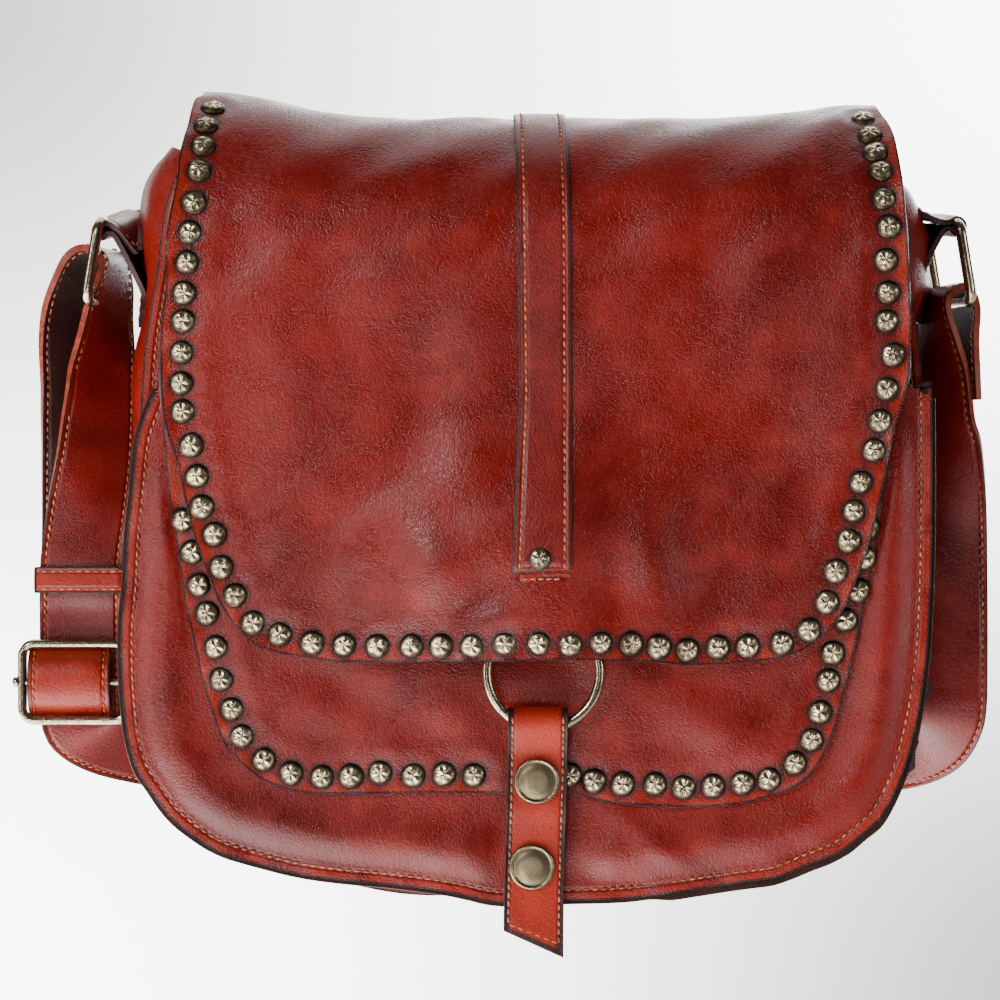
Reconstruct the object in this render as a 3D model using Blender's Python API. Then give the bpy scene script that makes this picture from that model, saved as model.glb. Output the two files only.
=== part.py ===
"""Leather shoulder purse: a box-sewn bag with a front pocket, two studded flaps and a carrying strap.

The purse hangs upright with its front towards -Y. The finished model's origin is the middle of
the underside of its base. While the pieces are made, heights count from the lowest stitched edge,
and the last step lowers them all by the seam flange. The pieces are named as a leather worker
would call them.
"""

import math

import bmesh
import bpy
from mathutils import Vector

# Units and the small values that every piece shares
MM = 0.001
GAP = 0.3 * MM
CUT_OVERRUN = 1.0 * MM
QUARTER = math.pi / 2
HALF_TURN = math.pi

# Body outline, cut alike for the back, the front, the pocket and both gussets
BODY_HALF_WIDTH = 131.0 * MM
BODY_HEIGHT = 246.0 * MM
BODY_OUTLINE_SHARES = [
    (0.870, 1.000),
    (0.924, 0.935),
    (0.950, 0.833),
    (0.977, 0.744),
    (0.989, 0.650),
    (0.997, 0.528),
    (1.000, 0.366),
    (0.985, 0.244),
    (0.943, 0.163),
    (0.874, 0.106),
    (0.771, 0.065),
    (0.611, 0.036),
    (0.440, 0.012),
    (0.300, 0.000),
]
OUTLINE_STEPS = 2
MIN_ROW = 2.0 * MM

# Body leather and its seams
PANEL_THICKNESS = 2.0 * MM
GUSSET_THICKNESS = 2.0 * MM
SEAM_FLANGE = 7.0 * MM
BODY_DEPTH = 67.5 * MM
HINGE_BELOW_TOP = 32.0 * MM
SIDE_FULLNESS = 8.2 * MM
FULLEST_BELOW_TOP = 41.0 * MM
SIDE_FULL_REACH = 75.0 * MM
SIDE_FLAT_SHARE = 0.55

# Front pocket
POCKET_DEPTH = 12.0 * MM
POCKET_TOP_Z = 167.0 * MM

# Pocket flap
FLAP_THICKNESS = 2.0 * MM
POCKET_FLAP_CLEARANCE = 1.5 * MM
POCKET_FLAP_HINGE_Z = 176.0 * MM
POCKET_FLAP_BEND = 12.0 * MM
POCKET_FLAP_BOTTOM_Z = 33.0 * MM
POCKET_FLAP_HALF_WIDTH = 119.0 * MM
POCKET_FLAP_WIDTH_SHARES = [
    (0.000, 1.000),
    (0.200, 1.000),
    (0.460, 0.958),
    (0.610, 0.922),
    (0.770, 0.876),
    (0.850, 0.842),
    (0.905, 0.808),
    (0.950, 0.757),
    (0.978, 0.690),
    (1.000, 0.590),
]

# Main flap
MAIN_FLAP_CLEARANCE = 1.0 * MM
MAIN_FLAP_BOTTOM_Z = 78.0 * MM
MAIN_FLAP_HALF_WIDTH = 122.0 * MM
MAIN_FLAP_WIDTH_SHARES = [
    (0.000, 0.960),
    (0.120, 0.930),
    (0.250, 0.890),
    (0.360, 0.930),
    (0.450, 0.960),
    (0.530, 0.988),
    (0.610, 1.000),
    (0.700, 0.986),
    (0.780, 0.942),
    (0.860, 0.896),
    (0.920, 0.848),
    (0.955, 0.800),
    (0.980, 0.742),
    (1.000, 0.610),
]
SWELL_HALF_WIDTH = 46.0 * MM
SWELL_TOP_Z = 168.0 * MM
RING_SWING_ROOM = 6.0 * MM

# Domed studs, riveted along the edges of both flaps
STUD_RADIUS = 4.0 * MM
STUD_HEIGHT = 1.6 * MM
STUD_SIDES = 8
STUD_PITCH = 9.8 * MM
STUD_INSET = 6.3 * MM
STUD_SINK = 0.6 * MM
STUD_SHOULDER_SHARE = 0.72
STUD_SHOULDER_HEIGHT_SHARE = 0.70

# Centre strip, its stud, and the slit that it passes through
STRIP_HALF_WIDTH = 9.0 * MM
STRIP_THICKNESS = 1.5 * MM
STRIP_END_Z = 107.0 * MM
STRIP_START_RUN = 8.0 * MM
STRIP_STUD_ABOVE_END = 6.0 * MM
SLIT_HEIGHT = 2.4 * MM
SLIT_DROP = 2.2 * MM

# Round ring of the closure, hung behind the main flap's lower edge
RING_RADIUS = 18.35 * MM
RING_WIRE = 1.65 * MM
RING_CENTRE_Z = 74.75 * MM
HANGER_HALF_WIDTH = 6.0 * MM
HANGER_THICKNESS = 1.5 * MM
HANGER_CLEARANCE = 1.1 * MM
HANGER_RISE = 17.0 * MM
HANGER_FREE = 8.0 * MM
RING_REST = 0.5 * MM

# Closure tab, folded over the ring
TAB_HALF_WIDTH = 10.0 * MM
TAB_THICKNESS = 1.8 * MM
TAB_CLEARANCE = 1.5 * MM
TAB_REST = 0.8 * MM
TAB_STAND_OFF = 1.4 * MM
TAB_LAYER_GAP = 0.4 * MM
TAB_CLOSE_BELOW_RING = 9.0 * MM
TAB_BACK_END_Z = 2.0 * MM
TAB_TIP_Z = -11.0 * MM
TAB_TIP_SKEW = 3.0 * MM
TAB_LEAN = 2.3 * MM
TAB_LEAN_FALL = 12.0 * MM
TAB_EDGE_CLEARANCE = 2.0 * MM

# Press studs of the closure
SNAP_CAP_RADIUS = 7.5 * MM
SNAP_CAP_HEIGHT = 1.9 * MM
SNAP_CAP_RIM_HEIGHT = 0.8 * MM
SNAP_DOME_SHARE = 0.92
SNAP_BARREL_RADIUS = 3.6 * MM
SNAP_BORE_RADIUS = 2.8 * MM
SNAP_POST_RADIUS = 1.9 * MM
SNAP_BASE_RADIUS = 5.2 * MM
SNAP_BASE_HEIGHT = 0.8 * MM
SNAP_SOCKET_HEIGHT = 0.8 * MM
SNAP_POST_REACH = 1.2 * MM
SNAP_LOWER_POST_REACH = 0.9 * MM
SNAP_SIDES = 24
UPPER_SNAP_Z = 39.5 * MM
LOWER_SNAP_Z = 11.5 * MM

# Side rings and the leather loops that carry them
SIDE_WIRE = 1.75 * MM
SIDE_RING_CORNER = 4.5 * MM
SIDE_RING_REACH = 27.0 * MM
SIDE_RING_LEAN = math.radians(9.6)
SIDE_RING_YAW = math.radians(12.0)
LEFT_RING_STANDS_OUT = 10.5 * MM
RIGHT_RING_STANDS_OUT = 8.6 * MM
SIDE_RING_BELOW_TOP = 22.0 * MM
LOOP_HALF_WIDTH = 15.5 * MM
LOOP_THICKNESS = 1.8 * MM
LOOP_CLEARANCE = 0.8 * MM
LOOP_SIDE_CLEARANCE = 0.8 * MM
LOOP_SEAT_ABOVE_BAR = 16.0 * MM
LOOP_LEAVE_ABOVE_BAR = 8.0 * MM
LOOP_LEAVE_BELOW_BAR = 21.0 * MM
LOOP_SEAT_BELOW_BAR = 34.0 * MM
LOOP_WRAP_START = math.radians(105.0)
LOOP_WRAP_END = math.radians(-55.0)
WIRE_SIDES = 8

# Carrying strap
STRAP_HALF_WIDTH = 14.0 * MM
STRAP_THICKNESS = 2.4 * MM
STRAP_LAYER_GAP = 0.4 * MM
STRAP_LOOP_RADIUS = 6.6 * MM
LEFT_LOOP_RISE = 7.0 * MM
RIGHT_LOOP_RISE = 0.5 * MM
LEFT_STRAP_STANDS_OUT = 22.0 * MM
RIGHT_STRAP_STANDS_OUT = 10.0 * MM
LEFT_STRAP_Y = -1.0 * MM
RIGHT_STRAP_Y = -1.0 * MM
LEFT_JOIN_ABOVE_KEEPER = 12.5 * MM
RIGHT_JOIN_BELOW_BAR = 56.0 * MM
TAIL_BELOW_BAR = 64.0 * MM
STRAP_TURN_TOP_Z = 54.0 * MM
STRAP_BACK_Z = 42.0 * MM
STRAP_BACK_CLEARANCE = 0.5 * MM
STRAP_TURN_OUT = 3.0 * MM
STRAP_LAND_INSIDE = 35.0 * MM
STRAP_STEPS = 12
TURN_STEPS = 3
LOOP_STEPS = 8
SEAT_STEPS = 2
BRIDGE_STEPS = 4
BOTTOM_TURN_SHARES = [
    (0.00, 0.00, 0.00),
    (0.10, 0.05, 0.60),
    (0.45, 0.25, 1.00),
    (0.85, 0.60, 1.05),
]

# Keeper and slider on the strap
KEEPER_Z = 103.5 * MM
KEEPER_HALF_HEIGHT = 4.4 * MM
KEEPER_THICKNESS = 1.4 * MM
KEEPER_CLEARANCE = 0.35 * MM
SLIDER_Z = 69.0 * MM
SLIDER_WIRE = 1.3 * MM
SLIDER_HALF_HEIGHT = 13.2 * MM
SLIDER_SIDE_CLEARANCE = 1.0 * MM
SLIDER_CORNER = 3.6 * MM
SLIDER_KNOB = 1.6 * MM
SLIDER_KNOB_LENGTH = 1.2 * MM
MIDDLE_BAR_SHARE = 0.92
STRAP_BELOW_BAR = 6.0 * MM

# Places that follow from the sizes above
HINGE_Z = BODY_HEIGHT - HINGE_BELOW_TOP
SIDE_FULL_Z = BODY_HEIGHT - FULLEST_BELOW_TOP
SIDE_RING_Z = BODY_HEIGHT - SIDE_RING_BELOW_TOP
LEFT_RING_X = BODY_HALF_WIDTH + LEFT_RING_STANDS_OUT
RIGHT_RING_X = BODY_HALF_WIDTH + RIGHT_RING_STANDS_OUT
LOOP_UPPER_SEAT_Z = SIDE_RING_Z + LOOP_SEAT_ABOVE_BAR
LOOP_UPPER_LEAVE_Z = SIDE_RING_Z + LOOP_LEAVE_ABOVE_BAR
LOOP_LOWER_LEAVE_Z = SIDE_RING_Z - LOOP_LEAVE_BELOW_BAR
LOOP_LOWER_SEAT_Z = SIDE_RING_Z - LOOP_SEAT_BELOW_BAR
LEFT_STRAP_X = BODY_HALF_WIDTH + LEFT_STRAP_STANDS_OUT
RIGHT_STRAP_X = BODY_HALF_WIDTH + RIGHT_STRAP_STANDS_OUT
LEFT_JOIN_Z = KEEPER_Z + LEFT_JOIN_ABOVE_KEEPER
RIGHT_JOIN_Z = SIDE_RING_Z - RIGHT_JOIN_BELOW_BAR
TAIL_END_Z = SIDE_RING_Z - TAIL_BELOW_BAR
STRAP_LAND_X = BODY_HALF_WIDTH - STRAP_LAND_INSIDE
GUSSET_BACK_Y = BODY_DEPTH / 2
GUSSET_FRONT_Y = -BODY_DEPTH / 2
BACK_FACE_Y = GUSSET_BACK_Y + GAP + PANEL_THICKNESS
FRONT_PANEL_Y = GUSSET_FRONT_Y - GAP - PANEL_THICKNESS
POCKET_GUSSET_BACK_Y = FRONT_PANEL_Y - GAP
POCKET_GUSSET_FRONT_Y = POCKET_GUSSET_BACK_Y - POCKET_DEPTH
POCKET_PANEL_Y = POCKET_GUSSET_FRONT_Y - GAP - PANEL_THICKNESS
POCKET_FLAP_Y = POCKET_PANEL_Y - POCKET_FLAP_CLEARANCE - FLAP_THICKNESS
MAIN_FLAP_Y = POCKET_FLAP_Y - STUD_HEIGHT - MAIN_FLAP_CLEARANCE - FLAP_THICKNESS
MAIN_BEND = (BACK_FACE_Y - MAIN_FLAP_Y) / 2
MAIN_BEND_Y = BACK_FACE_Y - MAIN_BEND
MAIN_BEND_LENGTH = MAIN_BEND * HALF_TURN
MAIN_FLAP_LENGTH = MAIN_BEND_LENGTH + HINGE_Z - MAIN_FLAP_BOTTOM_Z
TAB_BACK_Y = POCKET_FLAP_Y - TAB_STAND_OFF
TAB_FOLD_RADIUS = RING_WIRE + TAB_CLEARANCE
RING_Y = TAB_BACK_Y - TAB_THICKNESS - TAB_FOLD_RADIUS
RING_TOP_Z = RING_CENTRE_Z + RING_RADIUS
RING_BOTTOM_Z = RING_CENTRE_Z - RING_RADIUS
SWELL = RING_SWING_ROOM - (RING_Y - MAIN_FLAP_Y - FLAP_THICKNESS)
SIDE_RING_HALF_SPAN = LOOP_HALF_WIDTH + LOOP_SIDE_CLEARANCE + SIDE_WIRE
STRAP_LAYER = STRAP_THICKNESS + STRAP_LAYER_GAP

# Finishes: colour, roughness and metallic value
COGNAC = ((0.33, 0.035, 0.018, 1.0), 0.42, 0.0)
TAN_RED = ((0.46, 0.075, 0.028, 1.0), 0.45, 0.0)
DARK_HIDE = ((0.13, 0.016, 0.012, 1.0), 0.60, 0.0)
ANTIQUE_BRASS = ((0.46, 0.38, 0.26, 1.0), 0.32, 1.0)


def clear_scene():
    """Remove whatever the file opened with."""
    for old in list(bpy.data.objects):
        bpy.data.objects.remove(old, do_unlink=True)


def ease(share):
    """Rise smoothly from 0 to 1 as the share does."""
    share = min(1.0, max(0.0, share))
    return share * share * (3.0 - 2.0 * share)


def mix(start, end, share):
    return start + (end - start) * share


def smooth_line(points, steps):
    """Points on a Catmull-Rom curve through the given ones."""
    line = []
    last = len(points) - 1
    for index in range(last):
        before = Vector(points[max(index - 1, 0)])
        here = Vector(points[index])
        there = Vector(points[index + 1])
        after = Vector(points[min(index + 2, last)])
        for step in range(steps):
            t = step / steps
            curve = here * 2 + (there - before) * t
            curve += (before * 2 - here * 5 + there * 4 - after) * t * t
            curve += (here * 3 - before - there * 3 + after) * t * t * t
            line.append(curve / 2)
    line.append(Vector(points[last]))
    return line


def body_outline(top_z):
    """The body's outline in X and Z, from the left top corner round the base to the right one."""
    knots = [(BODY_HALF_WIDTH * across, BODY_HEIGHT * up) for across, up in BODY_OUTLINE_SHARES]
    curve = smooth_line(knots, OUTLINE_STEPS)
    right = []
    for above, below in zip(curve, curve[1:]):
        if below.y >= top_z:
            continue
        if above.y > top_z:
            above = above.lerp(below, (above.y - top_z) / (above.y - below.y))
        right.append(above)
    right.append(curve[-1])
    left = [Vector((-point.x, point.y)) for point in right]
    return left + right[::-1]


def inward_normals(line):
    """Unit normals of an open outline, turned to its inside."""
    normals = []
    for index in range(len(line)):
        ahead = line[min(index + 1, len(line) - 1)]
        behind = line[max(index - 1, 0)]
        along = (ahead - behind).normalized()
        normals.append(Vector((-along.y, along.x)))
    return normals


def half_width_at(z):
    """Half the body's width at a height, read from its outline."""
    knots = [(BODY_HALF_WIDTH * across, BODY_HEIGHT * up) for across, up in BODY_OUTLINE_SHARES]
    curve = smooth_line(knots, OUTLINE_STEPS)
    for above, below in zip(curve, curve[1:]):
        if below.y <= z <= above.y:
            return mix(above.x, below.x, (above.y - z) / (above.y - below.y))
    return curve[0].x


def finish(name, look):
    """A plain surface finish of the piece's own."""
    colour, roughness, metallic = look
    material = bpy.data.materials.new(name)
    material.use_nodes = True
    shader = material.node_tree.nodes["Principled BSDF"]
    shader.inputs["Base Color"].default_value = colour
    shader.inputs["Roughness"].default_value = roughness
    shader.inputs["Metallic"].default_value = metallic
    material.diffuse_color = colour
    return material


def new_piece(name, mesh_data, look, smooth=True):
    """Turn a bmesh into a named object with its finish."""
    bmesh.ops.recalc_face_normals(mesh_data, faces=mesh_data.faces)
    mesh = bpy.data.meshes.new(name)
    mesh_data.to_mesh(mesh)
    mesh_data.free()
    if smooth:
        mesh.shade_smooth()
        mesh.set_sharp_from_angle(angle=math.radians(40))
    mesh.materials.append(finish(name, look))
    piece = bpy.data.objects.new(name, mesh)
    bpy.context.collection.objects.link(piece)
    return piece


def put_origin(piece, place):
    """Move a piece's origin to a place, such as its joint's axis, and leave its mesh where it is."""
    shift = Vector(place)
    for vertex in piece.data.vertices:
        vertex.co -= shift
    piece.location = shift


def loft(name, rings, look, closed=False):
    """Skin a row of rings that have the same number of points."""
    shape = bmesh.new()
    made = [[shape.verts.new(point) for point in ring] for ring in rings]
    pairs = list(zip(made, made[1:]))
    if closed:
        pairs.append((made[-1], made[0]))
    for ring, following in pairs:
        for index in range(len(ring)):
            beside = (index + 1) % len(ring)
            shape.faces.new((ring[index], ring[beside], following[beside], following[index]))
    if not closed:
        shape.faces.new(made[0])
        shape.faces.new(made[-1])
    return new_piece(name, shape, look)


def plate(name, line, front_y, back_y, look):
    """A flat panel between two depths, cut to an outline in X and Z."""
    shape = bmesh.new()
    corners = [shape.verts.new((point.x, front_y, point.y)) for point in line]
    face = shape.faces.new(corners)
    made = bmesh.ops.extrude_face_region(shape, geom=[face])
    moved = [item for item in made["geom"] if isinstance(item, bmesh.types.BMVert)]
    bmesh.ops.translate(shape, verts=moved, vec=(0.0, back_y - front_y, 0.0))
    return new_piece(name, shape, look)


def strip(name, stations, half_width, thickness, look, closed=False):
    """A flat strap: each station is its centre, the way across it and its outward normal."""
    rings = []
    for centre, across, normal in stations:
        side = across * half_width
        lift = normal * (thickness / 2)
        low = centre - lift
        high = centre + lift
        rings.append([low - side, low + side, high + side, high - side])
    return loft(name, rings, look, closed)


def wire_ring(name, line, plane_normal, radius, look):
    """Round wire bent along a closed flat line."""
    rings = []
    count = len(line)
    for index in range(count):
        along = (line[(index + 1) % count] - line[index - 1]).normalized()
        outward = along.cross(plane_normal).normalized()
        ring = []
        for side in range(WIRE_SIDES):
            turn = 2 * math.pi * side / WIRE_SIDES
            spoke = outward * math.cos(turn) + plane_normal * math.sin(turn)
            ring.append(line[index] + spoke * radius)
        rings.append(ring)
    return loft(name, rings, look, closed=True)


def rounded_rectangle(half_across, half_up, corner, corner_steps=4):
    """Corner-rounded rectangle as points across and up."""
    points = []
    for quarter, (sign_across, sign_up) in enumerate([(1, 1), (-1, 1), (-1, -1), (1, -1)]):
        for step in range(corner_steps + 1):
            turn = QUARTER * (quarter + step / corner_steps)
            across = sign_across * (half_across - corner) + corner * math.cos(turn)
            up = sign_up * (half_up - corner) + corner * math.sin(turn)
            points.append((across, up))
    return points


def lathe(name, profile, centre, look):
    """Turn an open profile, from the axis round to the axis, or a closed one clear of the axis."""
    shape = bmesh.new()
    on_axis = profile[0][0] == 0.0
    columns = []
    for side in range(SNAP_SIDES):
        turn = 2 * math.pi * side / SNAP_SIDES
        column = []
        for radius, reach in profile:
            if radius == 0.0:
                column.append(None)
                continue
            spoke = Vector((radius * math.cos(turn), -reach, radius * math.sin(turn)))
            column.append(shape.verts.new(centre + spoke))
        columns.append(column)
    poles = {}
    for place, (radius, reach) in enumerate(profile):
        if radius == 0.0:
            poles[place] = shape.verts.new(centre + Vector((0.0, -reach, 0.0)))
    count = len(profile)
    last = count - 1 if on_axis else count
    for side in range(SNAP_SIDES):
        here = columns[side]
        there = columns[(side + 1) % SNAP_SIDES]
        for place in range(last):
            beyond = (place + 1) % count
            corners = []
            for column, row in ((here, place), (here, beyond), (there, beyond), (there, place)):
                corner = column[row] or poles[row]
                if corner not in corners:
                    corners.append(corner)
            shape.faces.new(corners)
    return new_piece(name, shape, look)


def boolean(target, tool, operation):
    """Join or cut with an exact Boolean, applied at once, and remove the tool."""
    modifier = target.modifiers.new(operation.title(), "BOOLEAN")
    modifier.operation = operation
    modifier.solver = "EXACT"
    modifier.object = tool
    graph = bpy.context.evaluated_depsgraph_get()
    result = bpy.data.meshes.new_from_object(target.evaluated_get(graph))
    target.modifiers.remove(modifier)
    materials = list(target.data.materials)
    target.data = result
    target.data.materials.clear()
    for material in materials:
        target.data.materials.append(material)
    bpy.data.objects.remove(tool, do_unlink=True)


def fullness(z):
    """How far the main gusset's wall stands out between its seams at a height."""
    return SIDE_FULLNESS * ease(1.0 - abs(z - SIDE_FULL_Z) / SIDE_FULL_REACH)


def gusset_wall_at(z):
    """Where the outer face of the main gusset's wall stands at a height."""
    return half_width_at(z) - SEAM_FLANGE + fullness(z)


def channel(name, line, front_y, back_limit, full_at, look):
    """A gusset: a wall between two turned-out seam flanges, swept along the body's outline."""
    wall = SEAM_FLANGE + GUSSET_THICKNESS
    rings = []
    for point, normal in zip(line, inward_normals(line)):
        back_y = back_limit(point.y)
        middle = (front_y + back_y) / 2
        flat = (back_y - front_y) / 2 * SIDE_FLAT_SHARE
        full = full_at(point.y)
        section = [
            (0.0, front_y),
            (wall, front_y),
            (wall - full, middle - flat),
            (wall - full, middle + flat),
            (wall, back_y),
            (0.0, back_y),
            (0.0, back_y - GUSSET_THICKNESS),
            (SEAM_FLANGE, back_y - GUSSET_THICKNESS),
            (SEAM_FLANGE - full, middle + flat),
            (SEAM_FLANGE - full, middle - flat),
            (SEAM_FLANGE, front_y + GUSSET_THICKNESS),
            (0.0, front_y + GUSSET_THICKNESS),
        ]
        ring = []
        for inset, depth in section:
            place = point + normal * inset
            ring.append(Vector((place.x, depth, place.y)))
        rings.append(ring)
    return loft(name, rings, look)


def under_main_bend(z):
    """How far back the gusset may reach below the main flap's bend."""
    room = MAIN_BEND - FLAP_THICKNESS - GAP
    rise = max(0.0, z - HINGE_Z)
    return min(GUSSET_BACK_Y, MAIN_BEND_Y + math.sqrt(room * room - rise * rise))


def at_pocket_back(z):
    """How far back the pocket gusset reaches: the same at every height."""
    return POCKET_GUSSET_BACK_Y


def build_body():
    """Back, front and pocket panels with the two gussets that join them."""
    back = body_outline(HINGE_Z)
    whole = body_outline(BODY_HEIGHT)
    pocket = body_outline(POCKET_TOP_Z)
    plate("back_panel", back, BACK_FACE_Y - PANEL_THICKNESS, BACK_FACE_Y, COGNAC)
    plate("front_panel", whole, FRONT_PANEL_Y, FRONT_PANEL_Y + PANEL_THICKNESS, COGNAC)
    plate("pocket_panel", pocket, POCKET_PANEL_Y, POCKET_PANEL_Y + PANEL_THICKNESS, COGNAC)
    channel("main_gusset", whole, GUSSET_FRONT_Y, under_main_bend, fullness, COGNAC)
    channel("pocket_gusset", pocket, POCKET_GUSSET_FRONT_Y, at_pocket_back, lambda z: 0.0, COGNAC)


def swell_at(x, z):
    """How far the main flap stands off, over the ring's hanger, at a place on its front."""
    across = math.exp(-((x / SWELL_HALF_WIDTH) ** 2))
    return SWELL * across * ease((SWELL_TOP_Z - z) / (SWELL_TOP_Z - STRIP_END_Z))


def main_flap_point(x, run):
    """A place on the main flap's outer face, by its run from the hinge."""
    if run <= MAIN_BEND_LENGTH:
        turn = run / MAIN_BEND
        return Vector((x, MAIN_BEND_Y + MAIN_BEND * math.cos(turn), HINGE_Z + MAIN_BEND * math.sin(turn)))
    z = HINGE_Z - (run - MAIN_BEND_LENGTH)
    return Vector((x, MAIN_FLAP_Y - swell_at(x, z), z))


def pocket_flap_point(x, run):
    """A place on the pocket flap's outer face, by its run from the hinge."""
    root_y = FRONT_PANEL_Y - GAP
    bend_y = POCKET_FLAP_Y + POCKET_FLAP_BEND
    level = root_y - bend_y
    bend_length = POCKET_FLAP_BEND * QUARTER
    if run <= level:
        return Vector((x, root_y - run, POCKET_FLAP_HINGE_Z))
    bend_z = POCKET_FLAP_HINGE_Z - POCKET_FLAP_BEND
    if run <= level + bend_length:
        turn = QUARTER + (run - level) / POCKET_FLAP_BEND
        spoke = Vector((0.0, math.cos(turn), math.sin(turn))) * POCKET_FLAP_BEND
        return Vector((x, bend_y, bend_z)) + spoke
    return Vector((x, POCKET_FLAP_Y, bend_z - (run - level - bend_length)))


def pocket_flap_length():
    root_y = FRONT_PANEL_Y - GAP
    bend_y = POCKET_FLAP_Y + POCKET_FLAP_BEND
    bend_z = POCKET_FLAP_HINGE_Z - POCKET_FLAP_BEND
    return root_y - bend_y + POCKET_FLAP_BEND * QUARTER + bend_z - POCKET_FLAP_BOTTOM_Z


def face_normal(place, x, run):
    """The outward normal of a sheet at a place, found from points beside it."""
    across = place(x + GAP, run) - place(x - GAP, run)
    along = place(x, run + GAP) - place(x, run - GAP)
    return along.cross(across).normalized()


def sheet(name, place, rows, columns, lift, thickness, look):
    """A bent sheet: rows give a run and a half width, place gives its outer face."""
    outer = []
    inner = []
    for run, half_width in rows:
        top = []
        under = []
        for column in range(columns + 1):
            x = half_width * (2 * column / columns - 1)
            normal = face_normal(place, x, run)
            point = place(x, run)
            top.append(point + normal * lift)
            under.append(point + normal * (lift - thickness))
        outer.append(top)
        inner.append(under)
    rings = []
    for top, under in zip(outer, inner):
        rings.append(top + under[::-1])
    shape = bmesh.new()
    made = [[shape.verts.new(point) for point in ring] for ring in rings]
    for ring, following in zip(made, made[1:]):
        for index in range(len(ring)):
            beside = (index + 1) % len(ring)
            shape.faces.new((ring[index], ring[beside], following[beside], following[index]))
    for ring in (made[0], made[-1]):
        size = len(ring)
        for index in range(columns):
            shape.faces.new((ring[index], ring[index + 1], ring[size - 2 - index], ring[size - 1 - index]))
    return new_piece(name, shape, look)


def flap_rows(shares, length, half_width, first_run, bend_end, bend_steps):
    """Rows of run and half width: even ones round the bend, then those of the table of shares."""
    curve = smooth_line(shares, OUTLINE_STEPS)
    rows = []
    for step in range(bend_steps + 1):
        run = max(first_run, bend_end * step / bend_steps)
        for here, there in zip(curve, curve[1:]):
            if here.x <= run / length <= there.x:
                across = mix(here.y, there.y, (run / length - here.x) / (there.x - here.x))
                rows.append((run, across * half_width))
                break
    for knot in curve:
        if knot.x * length > bend_end + MIN_ROW:
            rows.append((knot.x * length, knot.y * half_width))
    return rows


def edge_places(rows, inset, pitch, first_run):
    """Even places along the sides and lower edge of a flap, as x and run."""
    edge = [Vector((half_width, run)) for run, half_width in rows]
    edge.append(Vector((0.0, rows[-1][0])))
    inside = []
    for index in range(len(edge)):
        ahead = edge[min(index + 1, len(edge) - 1)]
        behind = edge[max(index - 1, 0)]
        along = (ahead - behind).normalized()
        inside.append(edge[index] + Vector((-along.y, along.x)) * inset)
    inside[-1] = Vector((0.0, rows[-1][0] - inset))
    inside = [point for point in inside if point.y >= first_run]
    lengths = [0.0]
    for here, there in zip(inside, inside[1:]):
        lengths.append(lengths[-1] + (there - here).length)
    count = round(lengths[-1] / pitch - 0.5)
    right = []
    for number in range(count + 1):
        travel = lengths[-1] * (1 - (number + 0.5) / (count + 0.5))
        for index in range(1, len(inside)):
            if lengths[index] >= travel:
                share = (travel - lengths[index - 1]) / (lengths[index] - lengths[index - 1])
                right.append(inside[index - 1].lerp(inside[index], share))
                break
    left = [Vector((-point.x, point.y)) for point in right]
    return right + left


def add_studs(flap, place, places):
    """Rivet domed studs to a flap, fused to it so that flap and studs stay one solid."""
    shape = bmesh.new()
    for spot in places:
        centre = place(spot.x, spot.y)
        up = face_normal(place, spot.x, spot.y)
        across = (place(spot.x + GAP, spot.y) - place(spot.x - GAP, spot.y)).normalized()
        along = up.cross(across)
        profile = [
            (STUD_RADIUS, -STUD_SINK),
            (STUD_RADIUS, STUD_HEIGHT * (1 - STUD_SHOULDER_HEIGHT_SHARE)),
            (STUD_RADIUS * STUD_SHOULDER_SHARE, STUD_HEIGHT),
        ]
        rings = []
        for radius, height in profile:
            ring = []
            for side in range(STUD_SIDES):
                turn = 2 * math.pi * (side + 0.5) / STUD_SIDES
                spoke = across * math.cos(turn) + along * math.sin(turn)
                ring.append(shape.verts.new(centre + spoke * radius + up * height))
            rings.append(ring)
        for ring, following in zip(rings, rings[1:]):
            for side in range(STUD_SIDES):
                beside = (side + 1) % STUD_SIDES
                shape.faces.new((ring[side], ring[beside], following[beside], following[side]))
        shape.faces.new(rings[0][::-1])
        shape.faces.new(rings[-1])
    studs = new_piece("studs", shape, ANTIQUE_BRASS)
    boolean(flap, studs, "UNION")


def build_main_flap():
    """The studded main flap, with the slit that its centre strip passes through."""
    shares = MAIN_FLAP_WIDTH_SHARES
    rows = flap_rows(shares, MAIN_FLAP_LENGTH, MAIN_FLAP_HALF_WIDTH, GAP, MAIN_BEND_LENGTH, 12)
    flap = sheet("main_flap", main_flap_point, rows, 16, 0.0, FLAP_THICKNESS, COGNAC)
    slit_z = STRIP_END_Z - SLIT_DROP
    slit_y = MAIN_FLAP_Y - SWELL
    reach = SWELL + FLAP_THICKNESS + CUT_OVERRUN
    cutter = box("slit", (-STRIP_HALF_WIDTH, slit_y - CUT_OVERRUN, slit_z - SLIT_HEIGHT / 2),
                 (STRIP_HALF_WIDTH, slit_y + reach, slit_z + SLIT_HEIGHT / 2))
    boolean(flap, cutter, "DIFFERENCE")
    places = edge_places(rows, STUD_INSET, STUD_PITCH, MAIN_BEND * QUARTER)
    add_studs(flap, main_flap_point, places)
    put_origin(flap, (0.0, BACK_FACE_Y, HINGE_Z))


def box(name, low, high):
    """A plain box between two corners, used as a cutter."""
    shape = bmesh.new()
    bmesh.ops.create_cube(shape, size=1.0)
    for vertex in shape.verts:
        for axis in range(3):
            vertex.co[axis] = high[axis] if vertex.co[axis] > 0 else low[axis]
    return new_piece(name, shape, DARK_HIDE, smooth=False)


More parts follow.
